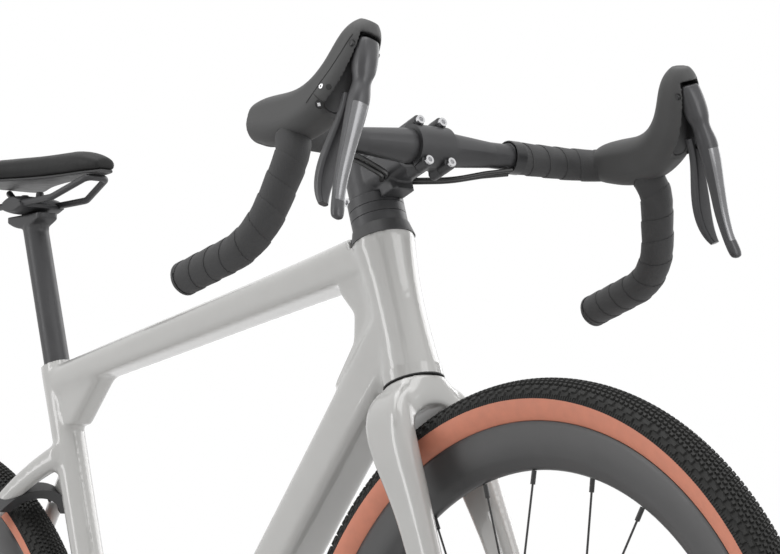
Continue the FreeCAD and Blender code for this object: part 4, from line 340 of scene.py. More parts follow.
def add_piece(name: str, shape: BMesh | Mesh, body: str, slot: str, *finishes: Finish,
              sharp: float = 40.0) -> Object:
    """Makes a piece that rides on a body.

    Args:
        name: The piece's name.
        shape: The shape, in the row frame; a bmesh is used up.
        body: The body that carries the piece.
        slot: The name of a material slot; not used.
        finishes: The finishes, in the order of the faces' material numbers.
        sharp: Edges that bend by more than this angle, in degrees, stay sharp.

    Returns:
        The new object.
    """
    mesh = as_mesh(name, shape) if isinstance(shape, BMesh) else shape
    for place, finish in enumerate(finishes):
        if place < len(mesh.materials):
            mesh.materials[place] = finish.material()
        else:
            mesh.materials.append(finish.material())
    mesh.shade_smooth()
    mesh.set_sharp_from_angle(angle=math.radians(sharp))
    piece = add_object(name, mesh)
    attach(piece, body)
    LOG.info("%s: %d faces", name, len(mesh.polygons))
    return piece


def modified(mesh: Mesh, kind: str, **settings: object) -> Mesh:
    """A mesh after one modifier.

    Args:
        mesh: The shape before.
        kind: The modifier's type.
        settings: The modifier's values.

    Returns:
        A new mesh.
    """
    holder = add_object("holder", mesh)
    modifier = holder.modifiers.new(kind, kind)
    for label, value in settings.items():
        setattr(modifier, label, value)
    depsgraph = bpy.context.evaluated_depsgraph_get()
    result = bpy.data.meshes.new_from_object(holder.evaluated_get(depsgraph))
    bpy.data.objects.remove(holder)
    return result


def merged(node: Object) -> BMesh:
    """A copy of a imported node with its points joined.

    Args:
        node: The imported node.

    Returns:
        The copy, ready for work.
    """
    form = bmesh.new()
    form.from_mesh(node.data)
    bmesh.ops.remove_doubles(form, verts=form.verts, dist=JOIN_DISTANCE * MM)
    bmesh.ops.recalc_face_normals(form, faces=form.faces)
    return form


@dataclass(frozen=True)
class FlatEnd:
    """A flat round end of a moulded part, with a crisp edge."""

    place: Triple
    axis: Triple
    radius: float
    reach: float = 4.0

    def settle(self, mesh: Mesh) -> None:
        """Puts the points next to the end onto its plane.

        Args:
            mesh: The part's mesh, which is changed.
        """
        middle, axis = Vector(self.place) * MM, Vector(self.axis).normalized()
        for vertex in mesh.vertices:
            way = vertex.co - middle
            rise = way.dot(axis)
            if abs(rise) < self.reach * MM and (way - axis * rise).length < self.radius * MM:
                vertex.co -= axis * rise


@dataclass(frozen=True)
class CurvedBack:
    """The far side of a block under the saddle, drawn in towards a level, more so at its ends and sides."""

    level: float
    far: float
    half_length: float
    lift: float
    half_width: float = 28.0
    middle: float = -299.3
    side_share: float = 0.4
    side_taper: float = 0.16
    most: float = 1.2
    depth_limit: float = 1.15
    length_limit: float = 1.1

    def bend(self, mesh: Mesh) -> None:
        """Bends the block's far side.

        Args:
            mesh: The mesh that holds the block; it is changed.
        """
        inward = math.copysign(self.lift, self.level - self.far)
        for vertex in mesh.vertices:
            share = (vertex.co.z / MM - self.level) / (self.far - self.level)
            ahead = (vertex.co.x / MM - self.middle) / self.half_length
            aside = vertex.co.y / MM / self.half_width
            if 0.0 < share < self.depth_limit and abs(ahead) < self.length_limit:
                draw = min(ahead ** 2 + self.side_share * aside ** 4, self.most)
                vertex.co.z += inward * share * draw * MM
                vertex.co.x -= self.side_taper * ahead * self.half_length * aside ** 2 * MM


@dataclass
class MouldedShell:
    """A moulded part: the solid's outside with rounded edges and soft blends where its forms meet."""

    node: str
    body: str
    slot: str
    finish: Finish
    voxel: float
    blend_rounds: int
    blend_limit: float = 9.0
    blend_slack: float = 0.3
    blend_gain: float = 1.6
    settle_rounds: int = 3
    ends: tuple[FlatEnd, ...] = ()
    backs: tuple[CurvedBack, ...] = ()

    def skin(self, nodes: Nodes) -> Mesh:
        """Makes the shell's mesh, which fills the inner corners and keeps the outer form.

        Args:
            nodes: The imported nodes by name.

        Returns:
            The mesh.
        """
        solid = as_mesh(self.node + "_merged", merged(nodes[self.node]))
        skin = modified(solid, "REMESH", mode="VOXEL", voxel_size=self.voxel * MM, adaptivity=0.0)
        skin = modified(skin, "SMOOTH", factor=SMOOTHING, iterations=self.settle_rounds)
        filled = modified(skin, "SMOOTH", factor=SMOOTHING, iterations=self.blend_rounds)
        limit = self.blend_limit * MM
        ways = [vertex.normal.copy() for vertex in skin.vertices]
        for vertex, target, way in zip(skin.vertices, filled.vertices, ways):
            rise = (target.co - vertex.co).dot(way) - self.blend_slack * MM
            if rise > 0.0:
                vertex.co += way * min(rise * self.blend_gain, limit)
        skin = modified(skin, "SMOOTH", factor=SMOOTHING, iterations=self.settle_rounds)
        for end in self.ends:
            end.settle(skin)
        for back in self.backs:
            back.bend(skin)
        return skin

    def build(self, nodes: Nodes) -> None:
        """Makes the shell and puts it in the node's stead.

        Args:
            nodes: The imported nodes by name.
        """
        skin = self.skin(nodes)
        piece = add_piece(self.node + "_shell", skin, self.body, self.slot, self.finish, sharp=70.0)
        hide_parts(self.node)


STEER_AXIS: Triple = (-0.31068, 0.0, 0.95052)
SEAT_AXIS: Triple = (-0.28903, 0.0, 0.95732)
HEAD_LOW_END = FlatEnd((349.97, 0.0, 709.82), STEER_AXIS, radius=34.0)
HEAD_HIGH_END = FlatEnd((306.47, 0.0, 842.89), STEER_AXIS, radius=34.0)
SEAT_TUBE_END = FlatEnd((-247.3, 0.0, 766.11), SEAT_AXIS, radius=20.0)
CRADLE_HEIGHT = 931.0
RAIL_HEIGHT = 941.0
CRADLE_BACK = CurvedBack(CRADLE_HEIGHT, CRADLE_HEIGHT - 15.0, half_length=33.0, lift=9.5)
LOWER_CLAMP_BACK = CurvedBack(RAIL_HEIGHT, CRADLE_HEIGHT, half_length=23.0, lift=5.0)
UPPER_CLAMP_BACK = CurvedBack(RAIL_HEIGHT, RAIL_HEIGHT + 9.6, half_length=20.0, lift=5.0)
SHELLS = (
    MouldedShell("frame", "frame", "frame_paint", FRAME_LACQUER, voxel=2.6, blend_rounds=60, settle_rounds=6,
                 ends=(HEAD_LOW_END, HEAD_HIGH_END, SEAT_TUBE_END)),
    MouldedShell("fork", "steering", "frame_paint", FRAME_LACQUER, voxel=2.2, blend_rounds=50,
                 settle_rounds=6),
    MouldedShell("stem", "steering", "black_alloy", BLACK_ALLOY, voxel=1.1, blend_rounds=16, blend_limit=3.0,
                 settle_rounds=4),
    MouldedShell("seat_post", "seat", "black_alloy", BLACK_ALLOY, voxel=1.2, blend_rounds=60, blend_limit=6.0,
                 settle_rounds=6, backs=(CRADLE_BACK,)),
    MouldedShell("saddle_clamp", "seat", "black_alloy", BLACK_ALLOY, voxel=0.9, blend_rounds=6,
                 blend_limit=2.0, settle_rounds=6, backs=(LOWER_CLAMP_BACK, UPPER_CLAMP_BACK)),
)


@dataclass
class SaddlePad:
    """The saddle's padded cover, with a shallow channel along its middle."""

    nose: float = -157.0
    length: float = 268.0
    channel_depth: float = 3.4
    channel_half_width: float = 9.0
    channel_start: float = 0.18
    channel_share: float = 0.8
    channel_power: float = 0.6
    top_facing: float = 0.4

    def build(self, nodes: Nodes) -> None:
        """Makes the pad from the solid's outside.

        Args:
            nodes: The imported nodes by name.
        """
        pad = MouldedShell("saddle_cushion", "seat", "saddle_cover", SADDLE_COVER, voxel=1.7, blend_rounds=4,
                           settle_rounds=7).skin(nodes)
        ways = [vertex.normal.z for vertex in pad.vertices]
        for vertex, facing in zip(pad.vertices, ways):
            place = (self.nose - vertex.co.x / MM) / self.length
            if facing < self.top_facing or not 0.0 < place < 1.0:
                continue
            run = min(max((place - self.channel_start) / self.channel_share, 0.0), 1.0)
            along = math.sin(math.pi * run) ** self.channel_power
            across = math.exp(-(vertex.co.y / MM / self.channel_half_width) ** 2)
            vertex.co.z -= self.channel_depth * along * across * MM
        piece = add_piece("saddle_pad", pad, "seat", "saddle_cover", SADDLE_COVER, sharp=60.0)
        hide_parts("saddle_cushion")


@dataclass(frozen=True)
class Station:
    """A point of a line with two directions square to it."""

    place: Vector
    first: Vector
    second: Vector

    def way(self, turn: float) -> Vector:
        """A direction square to the line.

        Args:
            turn: Angle about the line.

        Returns:
            The direction.
        """
        return self.first * math.cos(turn) + self.second * math.sin(turn)


def around(count: int) -> list[float]:
    """Even angles about an axis.

    Args:
        count: How many.

    Returns:
        The angles.
    """
    return [FULL_TURN * i / count for i in range(count)]


def evenly(points: list[Vector], step: float) -> list[Vector]:
    """Points at even distances along a line of points.

    Args:
        points: The line.
        step: The distance wanted.

    Returns:
        The new points, the first one kept.
    """
    placed, spare = [points[0].copy()], 0.0
    for first, last in zip(points, points[1:]):
        run = (last - first).length
        at = step - spare
        while at <= run:
            placed.append(first.lerp(last, at / run))
            at += step
        spare = run - (at - step)
    return placed


def stations(points: list[Vector]) -> list[Station]:
    """Directions square to a line that turn with it as little as they can.

    Args:
        points: The line.

    Returns:
        One station for each point.
    """
    across = (points[1] - points[0]).normalized().orthogonal().normalized()
    made = []
    for i, point in enumerate(points):
        heading = (points[min(i + 1, len(points) - 1)] - points[max(i - 1, 0)]).normalized()
        across = (across - heading * across.dot(heading)).normalized()
        made.append(Station(point, across, heading.cross(across)))
    return made


def tube(form: BMesh, points: list[Vector], radii: list[float], segments: int) -> None:
    """Adds a closed tube along a line.

    Args:
        form: The bmesh that takes it.
        points: The line.
        radii: The radius at each point.
        segments: Faces around the tube.
    """
    rings = []
    for station, radius in zip(stations(points), radii):
        spots = [station.place + station.way(turn) * radius * MM for turn in around(segments)]
        rings.append([form.verts.new(spot) for spot in spots])
    for low, high in zip(rings, rings[1:]):
        for i in range(segments):
            form.faces.new((low[i], low[i - 1], high[i - 1], high[i]))
    form.faces.new(rings[0])
    form.faces.new(reversed(rings[-1]))


@dataclass(frozen=True)
class Stud:
    """A short round stud with a broken edge; 6 faces around it make a hexagon."""

    radius: float
    height: float
    segments: int = 24
    edge: float = 0.3

    def add(self, form: BMesh, place: Vector, facing: Vector) -> None:
        """Adds the stud to a bmesh.

        Args:
            form: The bmesh that takes it.
            place: The middle of its foot.
            facing: Where it points.
        """
        tops = (0.0, self.height - self.edge, self.height)
        points = [place + facing * top * MM for top in tops]
        tube(form, points, [self.radius, self.radius, self.radius - self.edge], self.segments)


@dataclass
class BarSide:
    """One half of the handlebar, in the slanted plane of its drop: -1 is the right hand, 1 the left."""

    hand: int
    bar_ahead: float = 369.489
    bar_height: float = 922.4
    half_width: float = 200.0
    flare: float = 16.0
    tape_start: float = 96.0
    corners: tuple[Spot, ...] = ((0.0, 0.0), (88.0, -8.0), (58.0, -112.0), (-38.0, -136.0))
    corner_radii: Triple = (40.0, 32.0, 62.0)
    arc_steps: int = 24

    @property
    def label(self) -> str:
        """The side's name."""
        return "left" if self.hand > 0 else "right"

    @property
    def upward(self) -> Vector:
        """Up, in the plane of the drop."""
        lean = math.radians(self.flare)
        return Vector((0.0, -self.hand * math.sin(lean), math.cos(lean)))

    @property
    def outward(self) -> Vector:
        """Away from the bike, square to the plane of the drop."""
        lean = math.radians(self.flare)
        return Vector((0.0, self.hand * math.cos(lean), math.sin(lean)))

    def spot(self, reach: float, rise: float, out: float = 0.0) -> Vector:
        """A point by its reach ahead of the bar, its rise in the drop's plane and its distance outwards.

        Args:
            reach: Ahead of the bar's top.
            rise: Above the bar's top, in the drop's plane.
            out: Outwards from that plane.

        Returns:
            The point in the row frame.
        """
        base = Vector((self.bar_ahead, self.hand * self.half_width, self.bar_height))
        return (base + Vector((reach, 0.0, 0.0)) + self.upward * rise + self.outward * out) * MM

    def line(self) -> list[Vector]:
        """The bar's middle line from the tape's start to the end of the drop, straight runs joined by arcs.

        Returns:
            Points one millimetre apart.
        """
        inner = Vector((self.bar_ahead, self.hand * self.tape_start, self.bar_height)) * MM
        corners = [inner] + [self.spot(*corner) for corner in self.corners]
        points = [inner]
        for i, radius in enumerate(self.corner_radii, start=1):
            back = (corners[i - 1] - corners[i]).normalized()
            ahead = (corners[i + 1] - corners[i]).normalized()
            half_turn = (math.pi - back.angle(ahead)) / 2
            centre = corners[i] + (back + ahead).normalized() * (radius * MM / math.cos(half_turn))
            start = corners[i] + back * (radius * MM * math.tan(half_turn)) - centre
            finish = corners[i] + ahead * (radius * MM * math.tan(half_turn)) - centre
            for step in range(self.arc_steps + 1):
                way = start.slerp(finish, step / self.arc_steps).normalized()
                points.append(centre + way * radius * MM)
        return evenly(points + [corners[-1]], MM)


@dataclass
class WoundTape:
    """Padded tape wound round one half of the bar, each turn lapping over the last."""

    side: BarSide
    pitch: float = 21.0
    seat_radius: float = 14.6
    lap: float = 0.75
    width: float = 1.2
    section: tuple[Spot, ...] = (
        # place along the bar in pitches, height in laps
        (0.0, -1.6), (0.0, 0.7), (0.05, 0.98), (0.2, 0.95), (0.6, 0.5), (1.0, 0.05), (1.2, -0.6), (1.2, -1.6),
    )
    segments: int = 40
    hood_rear: float = 25.0
    hood_under: float = -17.0
    band_length: int = 14
    band_rise: float = 0.3
    band_edge: float = 1.2

    def ribbon(self, line: list[Station]) -> BMesh:
        """Winds the tape along a stretch of the bar.

        Args:
            line: Stations one millimetre apart.

        Returns:
            The wound ribbon.
        """
        form = bmesh.new()
        rows = []
        length = len(line) - 1
        for i in range(int((length / self.pitch + self.width) * self.segments)):
            turn = i / self.segments
            angle = self.side.hand * FULL_TURN * turn
            row = []
            for share, height in self.section:
                station = line[round(min(max((turn - self.width + share) * self.pitch, 0.0), length))]
                radius = self.seat_radius + self.lap * height
                row.append(form.verts.new(station.place + station.way(angle) * radius * MM))
            rows.append(row)
        for low, high in zip(rows, rows[1:]):
            for i in range(len(self.section)):
                form.faces.new((low[i - 1], low[i], high[i], high[i - 1]))
        bmesh.ops.dissolve_degenerate(form, dist=SLIVER * MM, edges=form.edges)
        return form

    def build(self) -> None:
        """Winds the tape before and behind the hood and binds its start."""
        line = stations(self.side.line())
        reaches = [station.place.x / MM - self.side.bar_ahead for station in line]
        rises = [station.place.z / MM - self.side.bar_height for station in line]
        rear = next(i for i, reach in enumerate(reaches) if reach > self.hood_rear)
        under = next(i for i, rise in enumerate(rises) if rise < self.hood_under)
        name = self.side.label + "_tape"
        for label, stretch in (("_top", line[:rear]), ("_drop", line[under:])):
            ribbon = self.ribbon(stretch)
            piece = add_piece(name + label, ribbon, "steering", "bar_wrap", TAPE_FOAM, sharp=75.0)
            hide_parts("bar_tape")
        form = bmesh.new()
        outer = self.seat_radius + self.lap + self.band_rise
        edge = [outer - self.band_edge]
        radii = edge + [outer] * (self.band_length - 2) + edge
        tube(form, [station.place for station in line[:self.band_length]], radii, self.segments)
        add_piece(name + "_band", form, "steering", "bar_wrap", BAND_VINYL, sharp=50.0)


@dataclass
class HoodTrim:
    """What shows on a hood's outer face: its seams, a screw, a port and the clip in its pocket; the seams,
    the port and the pocket are near-black as painted shade of grooves and holes.
    """

    side: BarSide
    seam: tuple[Spot, ...] = ((148.0, 58.0), (140.0, 42.0), (130.0, 27.0), (119.0, 13.0), (108.0, 0.0))
    flap: tuple[Spot, ...] = ((115.0, 8.5), (120.0, 4.0), (125.0, 0.0))
    screw: Spot = (124.0, 13.0)
    port: Spot = (131.5, 12.5)
    pocket: Spot = (121.0, -1.0)
    seam_radius: float = 0.5
    seam_step: float = 1.5
    seam_segments: int = 8
    hood_half_width: float = 16.0
    clear_distance: float = 60.0

    def cast(self, tree: BVHTree, spot: Spot) -> tuple[Vector, Vector]:
        """The hood's outer face at a point of its side view.

        Args:
            tree: The hood's faces.
            spot: Reach and rise of the point.

        Returns:
            The point on the face and the face's direction.
        """
        outside = self.side.spot(*spot, self.clear_distance)
        place, facing, _, _ = tree.ray_cast(outside, -self.side.outward)
        if place:
            return place, facing
        return self.side.spot(*spot, self.hood_half_width), self.side.outward

    def build(self, nodes: Nodes) -> None:
        """Makes the trim of one hood.

        Args:
            nodes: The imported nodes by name.
        """
        name = "hood_" + self.side.label
        form = merged(nodes[name])
        tree = BVHTree.FromBMesh(form)
        form.free()
        lines = bmesh.new()
        for path in (self.seam, self.flap):
            corners = [Vector((*spot, 0.0)) for spot in path]
            spots = [(point.x, point.y) for point in evenly(corners, self.seam_step)]
            points = [self.cast(tree, spot)[0] for spot in spots]
            tube(lines, points, [self.seam_radius] * len(points), self.seam_segments)
        # The seams are near-black: painted shade of the grooves.
        add_piece(name + "_seams", lines, "steering", "hood_rubber", PAINTED_SHADE_BLACK)
        # dark takes the port and the pocket, near-black as painted shade of their holes; bright takes the
        # screw and the clip.
        dark, bright = bmesh.new(), bmesh.new()
        # where each stud stands, the height of its foot above the hood, and the stud
        for holder, spot, foot, stud in (
                (bright, self.screw, -0.6, Stud(2.3, 1.1)),
                (dark, self.screw, 0.2, Stud(1.1, 0.4, 6, 0.1)),
                (dark, self.port, -0.6, Stud(2.6, 0.8)),
                (dark, self.pocket, -0.8, Stud(4.2, 1.0)),
                (bright, self.pocket, 0.1, Stud(2.2, 0.9, 4))):
            place, facing = self.cast(tree, spot)
            stud.add(holder, place + facing * foot * MM, facing)
        add_piece(name + "_ports", dark, "steering", "hood_rubber", PAINTED_SHADE_BLACK)
        add_piece(name + "_screws", bright, "steering", "bolt_steel", BRIGHT_STEEL)


def smooth_rows(rows: tuple[tuple[float, ...], ...], steps: int) -> list[list[float]]:
    """Rows between rows, on a smooth curve through each column.

    Args:
        rows: The rows given.
        steps: How many parts each gap is cut into.

    Returns:
        The finer rows.
    """
    finer = []
    last = len(rows) - 1
    for i in range(last):
        columns = list(zip(rows[max(i - 1, 0)], rows[i], rows[i + 1], rows[min(i + 2, last)]))
        for step in range(steps):
            t = step / steps
            finer.append([
                b + 0.5 * t * (c - a + t * (2 * a - 5 * b + 4 * c - d + t * (3 * b - a - 3 * c + d)))
                for a, b, c, d in columns])
    return finer + [list(rows[-1])]


@dataclass
class LeverBlade:
    """A brake lever: a broad head, a waist, and a blade that ends in a round tip, its front faces lighter and
    glossier as a painted highlight.
    """

    side: BarSide
    rows: tuple[tuple[float, ...], ...] = (
        # reach, rise, depth, width and distance outwards of the sections
        (150.5, 58.5, 8.0, 11.0, 0.0), (151.0, 56.5, 14.0, 19.0, 0.0), (152.0, 43.0, 20.0, 20.5, 0.0),
        (154.0, 30.0, 19.0, 19.5, 0.0), (155.5, 19.0, 15.5, 14.5, 0.2), (157.5, 4.0, 17.5, 17.5, 0.8),
        (158.5, -14.0, 15.5, 17.0, 1.0), (158.0, -38.0, 13.0, 14.0, 0.8), (157.5, -62.0, 11.5, 12.0, 0.4),
        (159.5, -82.0, 10.0, 10.5, 0.0), (163.0, -96.0, 10.0, 11.0, 0.0), (164.5, -102.0, 8.0, 9.0, 0.0),
        (165.0, -104.0, 3.0, 3.5, 0.0),
    )
    row_steps: int = 6
    segments: int = 32
    squareness: float = 0.72
    highlight_rises: Spot = (-86.0, 0.0)
    highlight_turn: float = 0.25
    highlight_edge: float = 0.55

    def build(self) -> None:
        """Makes the lever."""
        name = "brake_lever_" + self.side.label
        form = bmesh.new()
        turns = around(self.segments)
        rings, rises = [], []
        for reach, rise, depth, width, out in smooth_rows(self.rows, self.row_steps):
            ring = []
            for turn in turns:
                ahead = math.copysign(abs(math.cos(turn)) ** self.squareness, math.cos(turn)) * depth / 2
                aside = math.copysign(abs(math.sin(turn)) ** self.squareness, math.sin(turn)) * width / 2
                ring.append(form.verts.new(self.side.spot(reach + ahead, rise, out + aside)))
            rings.append(ring)
            rises.append(rise)
        for rise, low, high in zip(rises, rings, rings[1:]):
            # Front faces between these rises take the lighter copy of the lever finish: a painted highlight.
            bright = self.highlight_rises[0] < rise < self.highlight_rises[1]
            for i in range(self.segments):
                face = form.faces.new((low[i - 1], low[i], high[i], high[i - 1]))
                front = math.cos(turns[i] - self.highlight_turn) > self.highlight_edge
                face.material_index = int(bright and front)
        form.faces.new(rings[0])
        form.faces.new(rings[-1])
        bmesh.ops.recalc_face_normals(form, faces=form.faces)
        piece = add_piece(name + "_blade", form, name, "lever_finish", LEVER_SATIN, LEVER_PAINTED_HIGHLIGHT, sharp=50.0)
        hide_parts(name)


@dataclass
class HeadSeal:
    """The seal between the fork's crown and the head tube, near-black as painted shade of that gap, and the
    lining of the tube's lower end.
    """

    place: Triple = (350.2, 0.0, 709.2)
    axis: Triple = STEER_AXIS
    segments: int = 64
    seal_radii: Spot = (24.0, 27.3)
    seal_rises: Spot = (-0.8, 0.8)
    lining_radii: Spot = (26.4, 28.2)
    lining_rises: Spot = (0.7, 11.0)

    def hoop(self, radii: Spot, rises: Spot) -> BMesh:
        """Makes a ring about the steering axis.

        Args:
            radii: The inner and the outer radius.
            rises: How far along the axis the ring starts and ends.

        Returns:
            The ring.
        """
        form = bmesh.new()
        middle, upward = Vector(self.place), Vector(self.axis)
        ahead = ACROSS.cross(upward)
        corners = ((radii[0], rises[0]), (radii[1], rises[0]), (radii[1], rises[1]), (radii[0], rises[1]))
        rows = []
        for turn in around(self.segments):
            way = ahead * math.cos(turn) + ACROSS * math.sin(turn)
            spots = [(middle + way * radius + upward * rise) * MM for radius, rise in corners]
            rows.append([form.verts.new(spot) for spot in spots])
        for i in range(self.segments):
            for k in range(len(corners)):
                form.faces.new((rows[i - 1][k - 1], rows[i - 1][k], rows[i][k], rows[i][k - 1]))
        bmesh.ops.recalc_face_normals(form, faces=form.faces)
        return form

    def build(self) -> None:
        """Makes both rings."""
        seal = self.hoop(self.seal_radii, self.seal_rises)
        add_piece("head_seal", seal, "frame", "black_plastic", PAINTED_SHADE_BLACK)
        lining = self.hoop(self.lining_radii, self.lining_rises)
        add_piece("head_lining", lining, "frame", "frame_paint", FRAME_LACQUER)


CROWN_LEANS = (-39, -26, -13, 0, 13, 26, 39)
CROWN_PLACES = ((0.0, 0.5), (0.25, 0.75))
CROWN_KNOB: Triple = (3.9, 3.4, 2.4)
TREAD_ROWS = (
    # leans across the crown in degrees, places within a step of the tread, and a knob's size
    *(((lean,), CROWN_PLACES[i % 2], CROWN_KNOB) for i, lean in enumerate(CROWN_LEANS)),
    ((-53, 53), (0.8,), (6.6, 4.4, 2.0)),
    ((-67, 67), (0.3,), (5.0, 4.6, 1.8)),
    ((-78, 78), (0.0, 0.25, 0.5, 0.75), (1.3, 4.6, 0.7)),
)


@dataclass
class Wheel:
    """A wheel's rim and tyre, spun about the axle."""

    label: str
    ahead: float
    axle_height: float = 352.0
    steps: int = 180
    rim_radius: float = 314.0
    rim_depth: float = 42.0
    rim_half_width: float = 12.5
    hook_width: float = 2.0
    hook_edge: Spot = (0.4, 0.3)
    bed_depth: float = 5.0
    belly_steps: int = 9
    belly_power: float = 2.4
    belly_bulge: float = 0.5
    belly_margin: float = 5.6
    nose_half_width: float = 6.0
    nose_height: float = 5.0
    nose_turns: Triple = (25, 50, 75)
    carcass_radius: float = 20.4
    carcass_middle: float = 331.0
    crown_radius: float = 18.5
    crown_turns: tuple[float, ...] = (0, 8, 16, 24, 32, 40, 48, 56, 64, 72, 79)
    tan_edge: float = 332.8
    wall_rises: tuple[float, ...] = (0.0, -3.0, -6.5, -10.0, -13.5, -16.5)
    bead: tuple[Spot, ...] = ((0.2, 10.4), (4.8, 10.2), (4.8, 7.6))
    knob_pitch: float = 6.1
    knob_taper: float = 0.72
    knob_seat: float = 0.3
    valve_turn: float = 187.5
    valve_parts: tuple[tuple[float, Stud], ...] = (
        # distance from the rim's inner edge, and the stem, the nut and the cap
        (1.0, Stud(3.0, 40.0, 16, 0.6)), (0.0, Stud(5.4, 4.0, 6, 0.6)), (36.0, Stud(3.9, 14.0, 16, 0.6)),
    )

    @property
    def body(self) -> str:
        """The body that carries the wheel."""
        return self.label + "_wheel"

    @property
    def centre(self) -> Vector:
        """The middle of the axle."""
        return Vector((self.ahead, 0.0, self.axle_height)) * MM

    def spot(self, radius: float, side: float) -> Vector:
        """A point of the wheel's half section.

        Args:
            radius: Distance from the axle.
            side: Distance to the left of the wheel's plane.

        Returns:
            The point in the row frame.
        """
        return self.centre + Vector((0.0, side, radius)) * MM

    def spun(self, outline: list[Spot]) -> BMesh:
        """Spins a closed half section about the axle.

        Args:
            outline: The section's corners as radius and side.

        Returns:
            The turned shape.
        """
        form = bmesh.new()
        corners = [form.verts.new(self.spot(*spot)) for spot in outline]
        edges = [form.edges.new((first, last)) for first, last in zip(corners, corners[1:] + corners[:1])]
        bmesh.ops.spin(form, geom=corners + edges, cent=self.centre, axis=ACROSS, angle=FULL_TURN,
                       steps=self.steps, use_merge=True)
        bmesh.ops.recalc_face_normals(form, faces=form.faces)
        return form

    def rim_outline(self) -> list[Spot]:
        """The rim's section: hooks, tyre bed, bellied sides and a rounded inner edge.

        Returns:
            The section's corners as radius and side.
        """
        outer, inner = self.rim_radius, self.rim_radius - self.rim_depth
        half, nose, height = self.rim_half_width, self.nose_half_width, self.nose_height
        shoulder = outer - self.hook_edge[0]
        side = [(outer - self.bed_depth, half - self.hook_width), (outer, half - self.hook_width),
                (outer, half - self.hook_edge[1]), (shoulder, half)]
        for i in range(1, self.belly_steps + 1):
            share = i / self.belly_steps
            width = nose + (half - nose) * math.sqrt(1 - share ** self.belly_power)
            width += self.belly_bulge * math.sin(math.pi * share)
            side.append((shoulder - share * (self.rim_depth - self.belly_margin), width))
        for turn in self.nose_turns:
            angle = math.radians(turn)
            side.append((inner + height - height * math.sin(angle), nose * math.cos(angle)))
        mirror = [(radius, -width) for radius, width in reversed(side)]
        return side + [(inner, 0.0)] + mirror

    def tyre_outline(self) -> list[Spot]:
        """The tyre's section: crown, shoulder, sidewall and beads.

        Returns:
            The section's corners as radius and side.
        """
        side = []
        for turn in self.crown_turns:
            angle = math.radians(turn)
            side.append((self.carcass_middle + self.crown_radius * math.cos(angle),
                         self.carcass_radius * math.sin(angle)))
        for rise in (self.tan_edge - self.carcass_middle, *self.wall_rises):
            side.append((self.carcass_middle + rise, math.sqrt(self.carcass_radius ** 2 - rise ** 2)))
        side += [(self.rim_radius - depth, width) for depth, width in self.bead]
        mirror = [(radius, -width) for radius, width in reversed(side[1:])]
        return side + mirror

    def knob(self, form: BMesh, lean: float, turn: float, size: Vector) -> None:
        """Adds one knob of the tread.

        Args:
            form: The bmesh that takes it.
            lean: Angle across the crown, in degrees.
            turn: Angle about the axle, in degrees.
            size: Length along the tread, width across it and height.
        """
        made = bmesh.ops.create_cube(form, size=1.0)["verts"]
        top = [vertex for vertex in made if vertex.co.z > 0]
        bmesh.ops.scale(form, vec=(self.knob_taper, self.knob_taper, 1.0), verts=top)
        bmesh.ops.scale(form, vec=size * MM, verts=made)
        angle = math.radians(lean)
        lift = size.z * self.knob_seat
        seat = self.spot(self.carcass_middle + (self.crown_radius + lift) * math.cos(angle),
                         (self.carcass_radius + lift) * math.sin(angle))
        bmesh.ops.rotate(form, cent=(0, 0, 0), matrix=Matrix.Rotation(-angle, 3, "X"), verts=made)
        bmesh.ops.translate(form, vec=seat, verts=made)
        turning = Matrix.Rotation(math.radians(turn), 3, "Y")
        bmesh.ops.rotate(form, cent=self.centre, matrix=turning, verts=made)

    def tread(self) -> BMesh:
        """The knobs: a file of small ones on the crown, longer ones on the shoulders, ribs at the edges.

        Returns:
            All knobs of the tread.
        """
        count = int(FULL_TURN * (self.carcass_middle + self.crown_radius) / (2 * self.knob_pitch))
        step = 360.0 / count
        form = bmesh.new()
        for leans, places, size in TREAD_ROWS:
            for place in places:
                for lean in leans:
                    self.knob(form, lean, step * place, Vector(size))
        first_step = form.verts[:] + form.edges[:] + form.faces[:]
        bmesh.ops.spin(form, geom=first_step, cent=self.centre, axis=ACROSS,
                       angle=FULL_TURN * (count - 1) / count, steps=count - 1, use_duplicate=True)
        bmesh.ops.recalc_face_normals(form, faces=form.faces)
        return form

    def valve(self) -> BMesh:
        """The valve's stem, nut and cap, inwards from the rim.

        Returns:
            The three turned pieces.
        """
        form = bmesh.new()
        rim_edge = self.rim_radius - self.rim_depth
        for start, stud in self.valve_parts:
            stud.add(form, self.spot(rim_edge - start, 0.0), Vector((0.0, 0.0, -1.0)))
        turning = Matrix.Rotation(math.radians(self.valve_turn), 3, "Y")
        bmesh.ops.rotate(form, cent=self.centre, matrix=turning, verts=form.verts)
        return form

    def build(self) -> None:
        """Makes the rim, the valve and the tyre with its tread."""
        rim = self.spun(self.rim_outline())
        piece = add_piece(self.label + "_deep_rim", rim, self.body, "rim_carbon", RIM_CARBON)
        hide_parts(self.label + "_rim")
        add_piece(self.label + "_valve", self.valve(), self.body, "black_alloy", BLACK_ALLOY)
        carcass = self.spun(self.tyre_outline())
        for face in carcass.faces:
            away = face.calc_center_median() - self.centre
            face.material_index = int(math.hypot(away.x, away.z) / MM < self.tan_edge)
        piece = add_piece(self.label + "_carcass", carcass, self.body, "tyre_rubber", TREAD_RUBBER, TAN_WALL)
        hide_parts(self.label + "_tyre")
        add_piece(self.label + "_tread", self.tread(), self.body, "tyre_rubber", TREAD_RUBBER, sharp=25.0)


SOFT_BOXES = (
    # name, place, width and height in metres, and power in watts
    ("overhead", (0.3, -0.3, 3.4), (3.4, 2.4), 60.0),
    ("right_strip", (-1.6, -3.0, 1.6), (0.9, 2.6), 26.0),
    ("front_box", (3.6, 0.6, 1.8), (2.0, 2.4), 35.0),
    ("left_box", (0.2, 3.4, 1.8), (2.6, 2.0), 35.0),
)


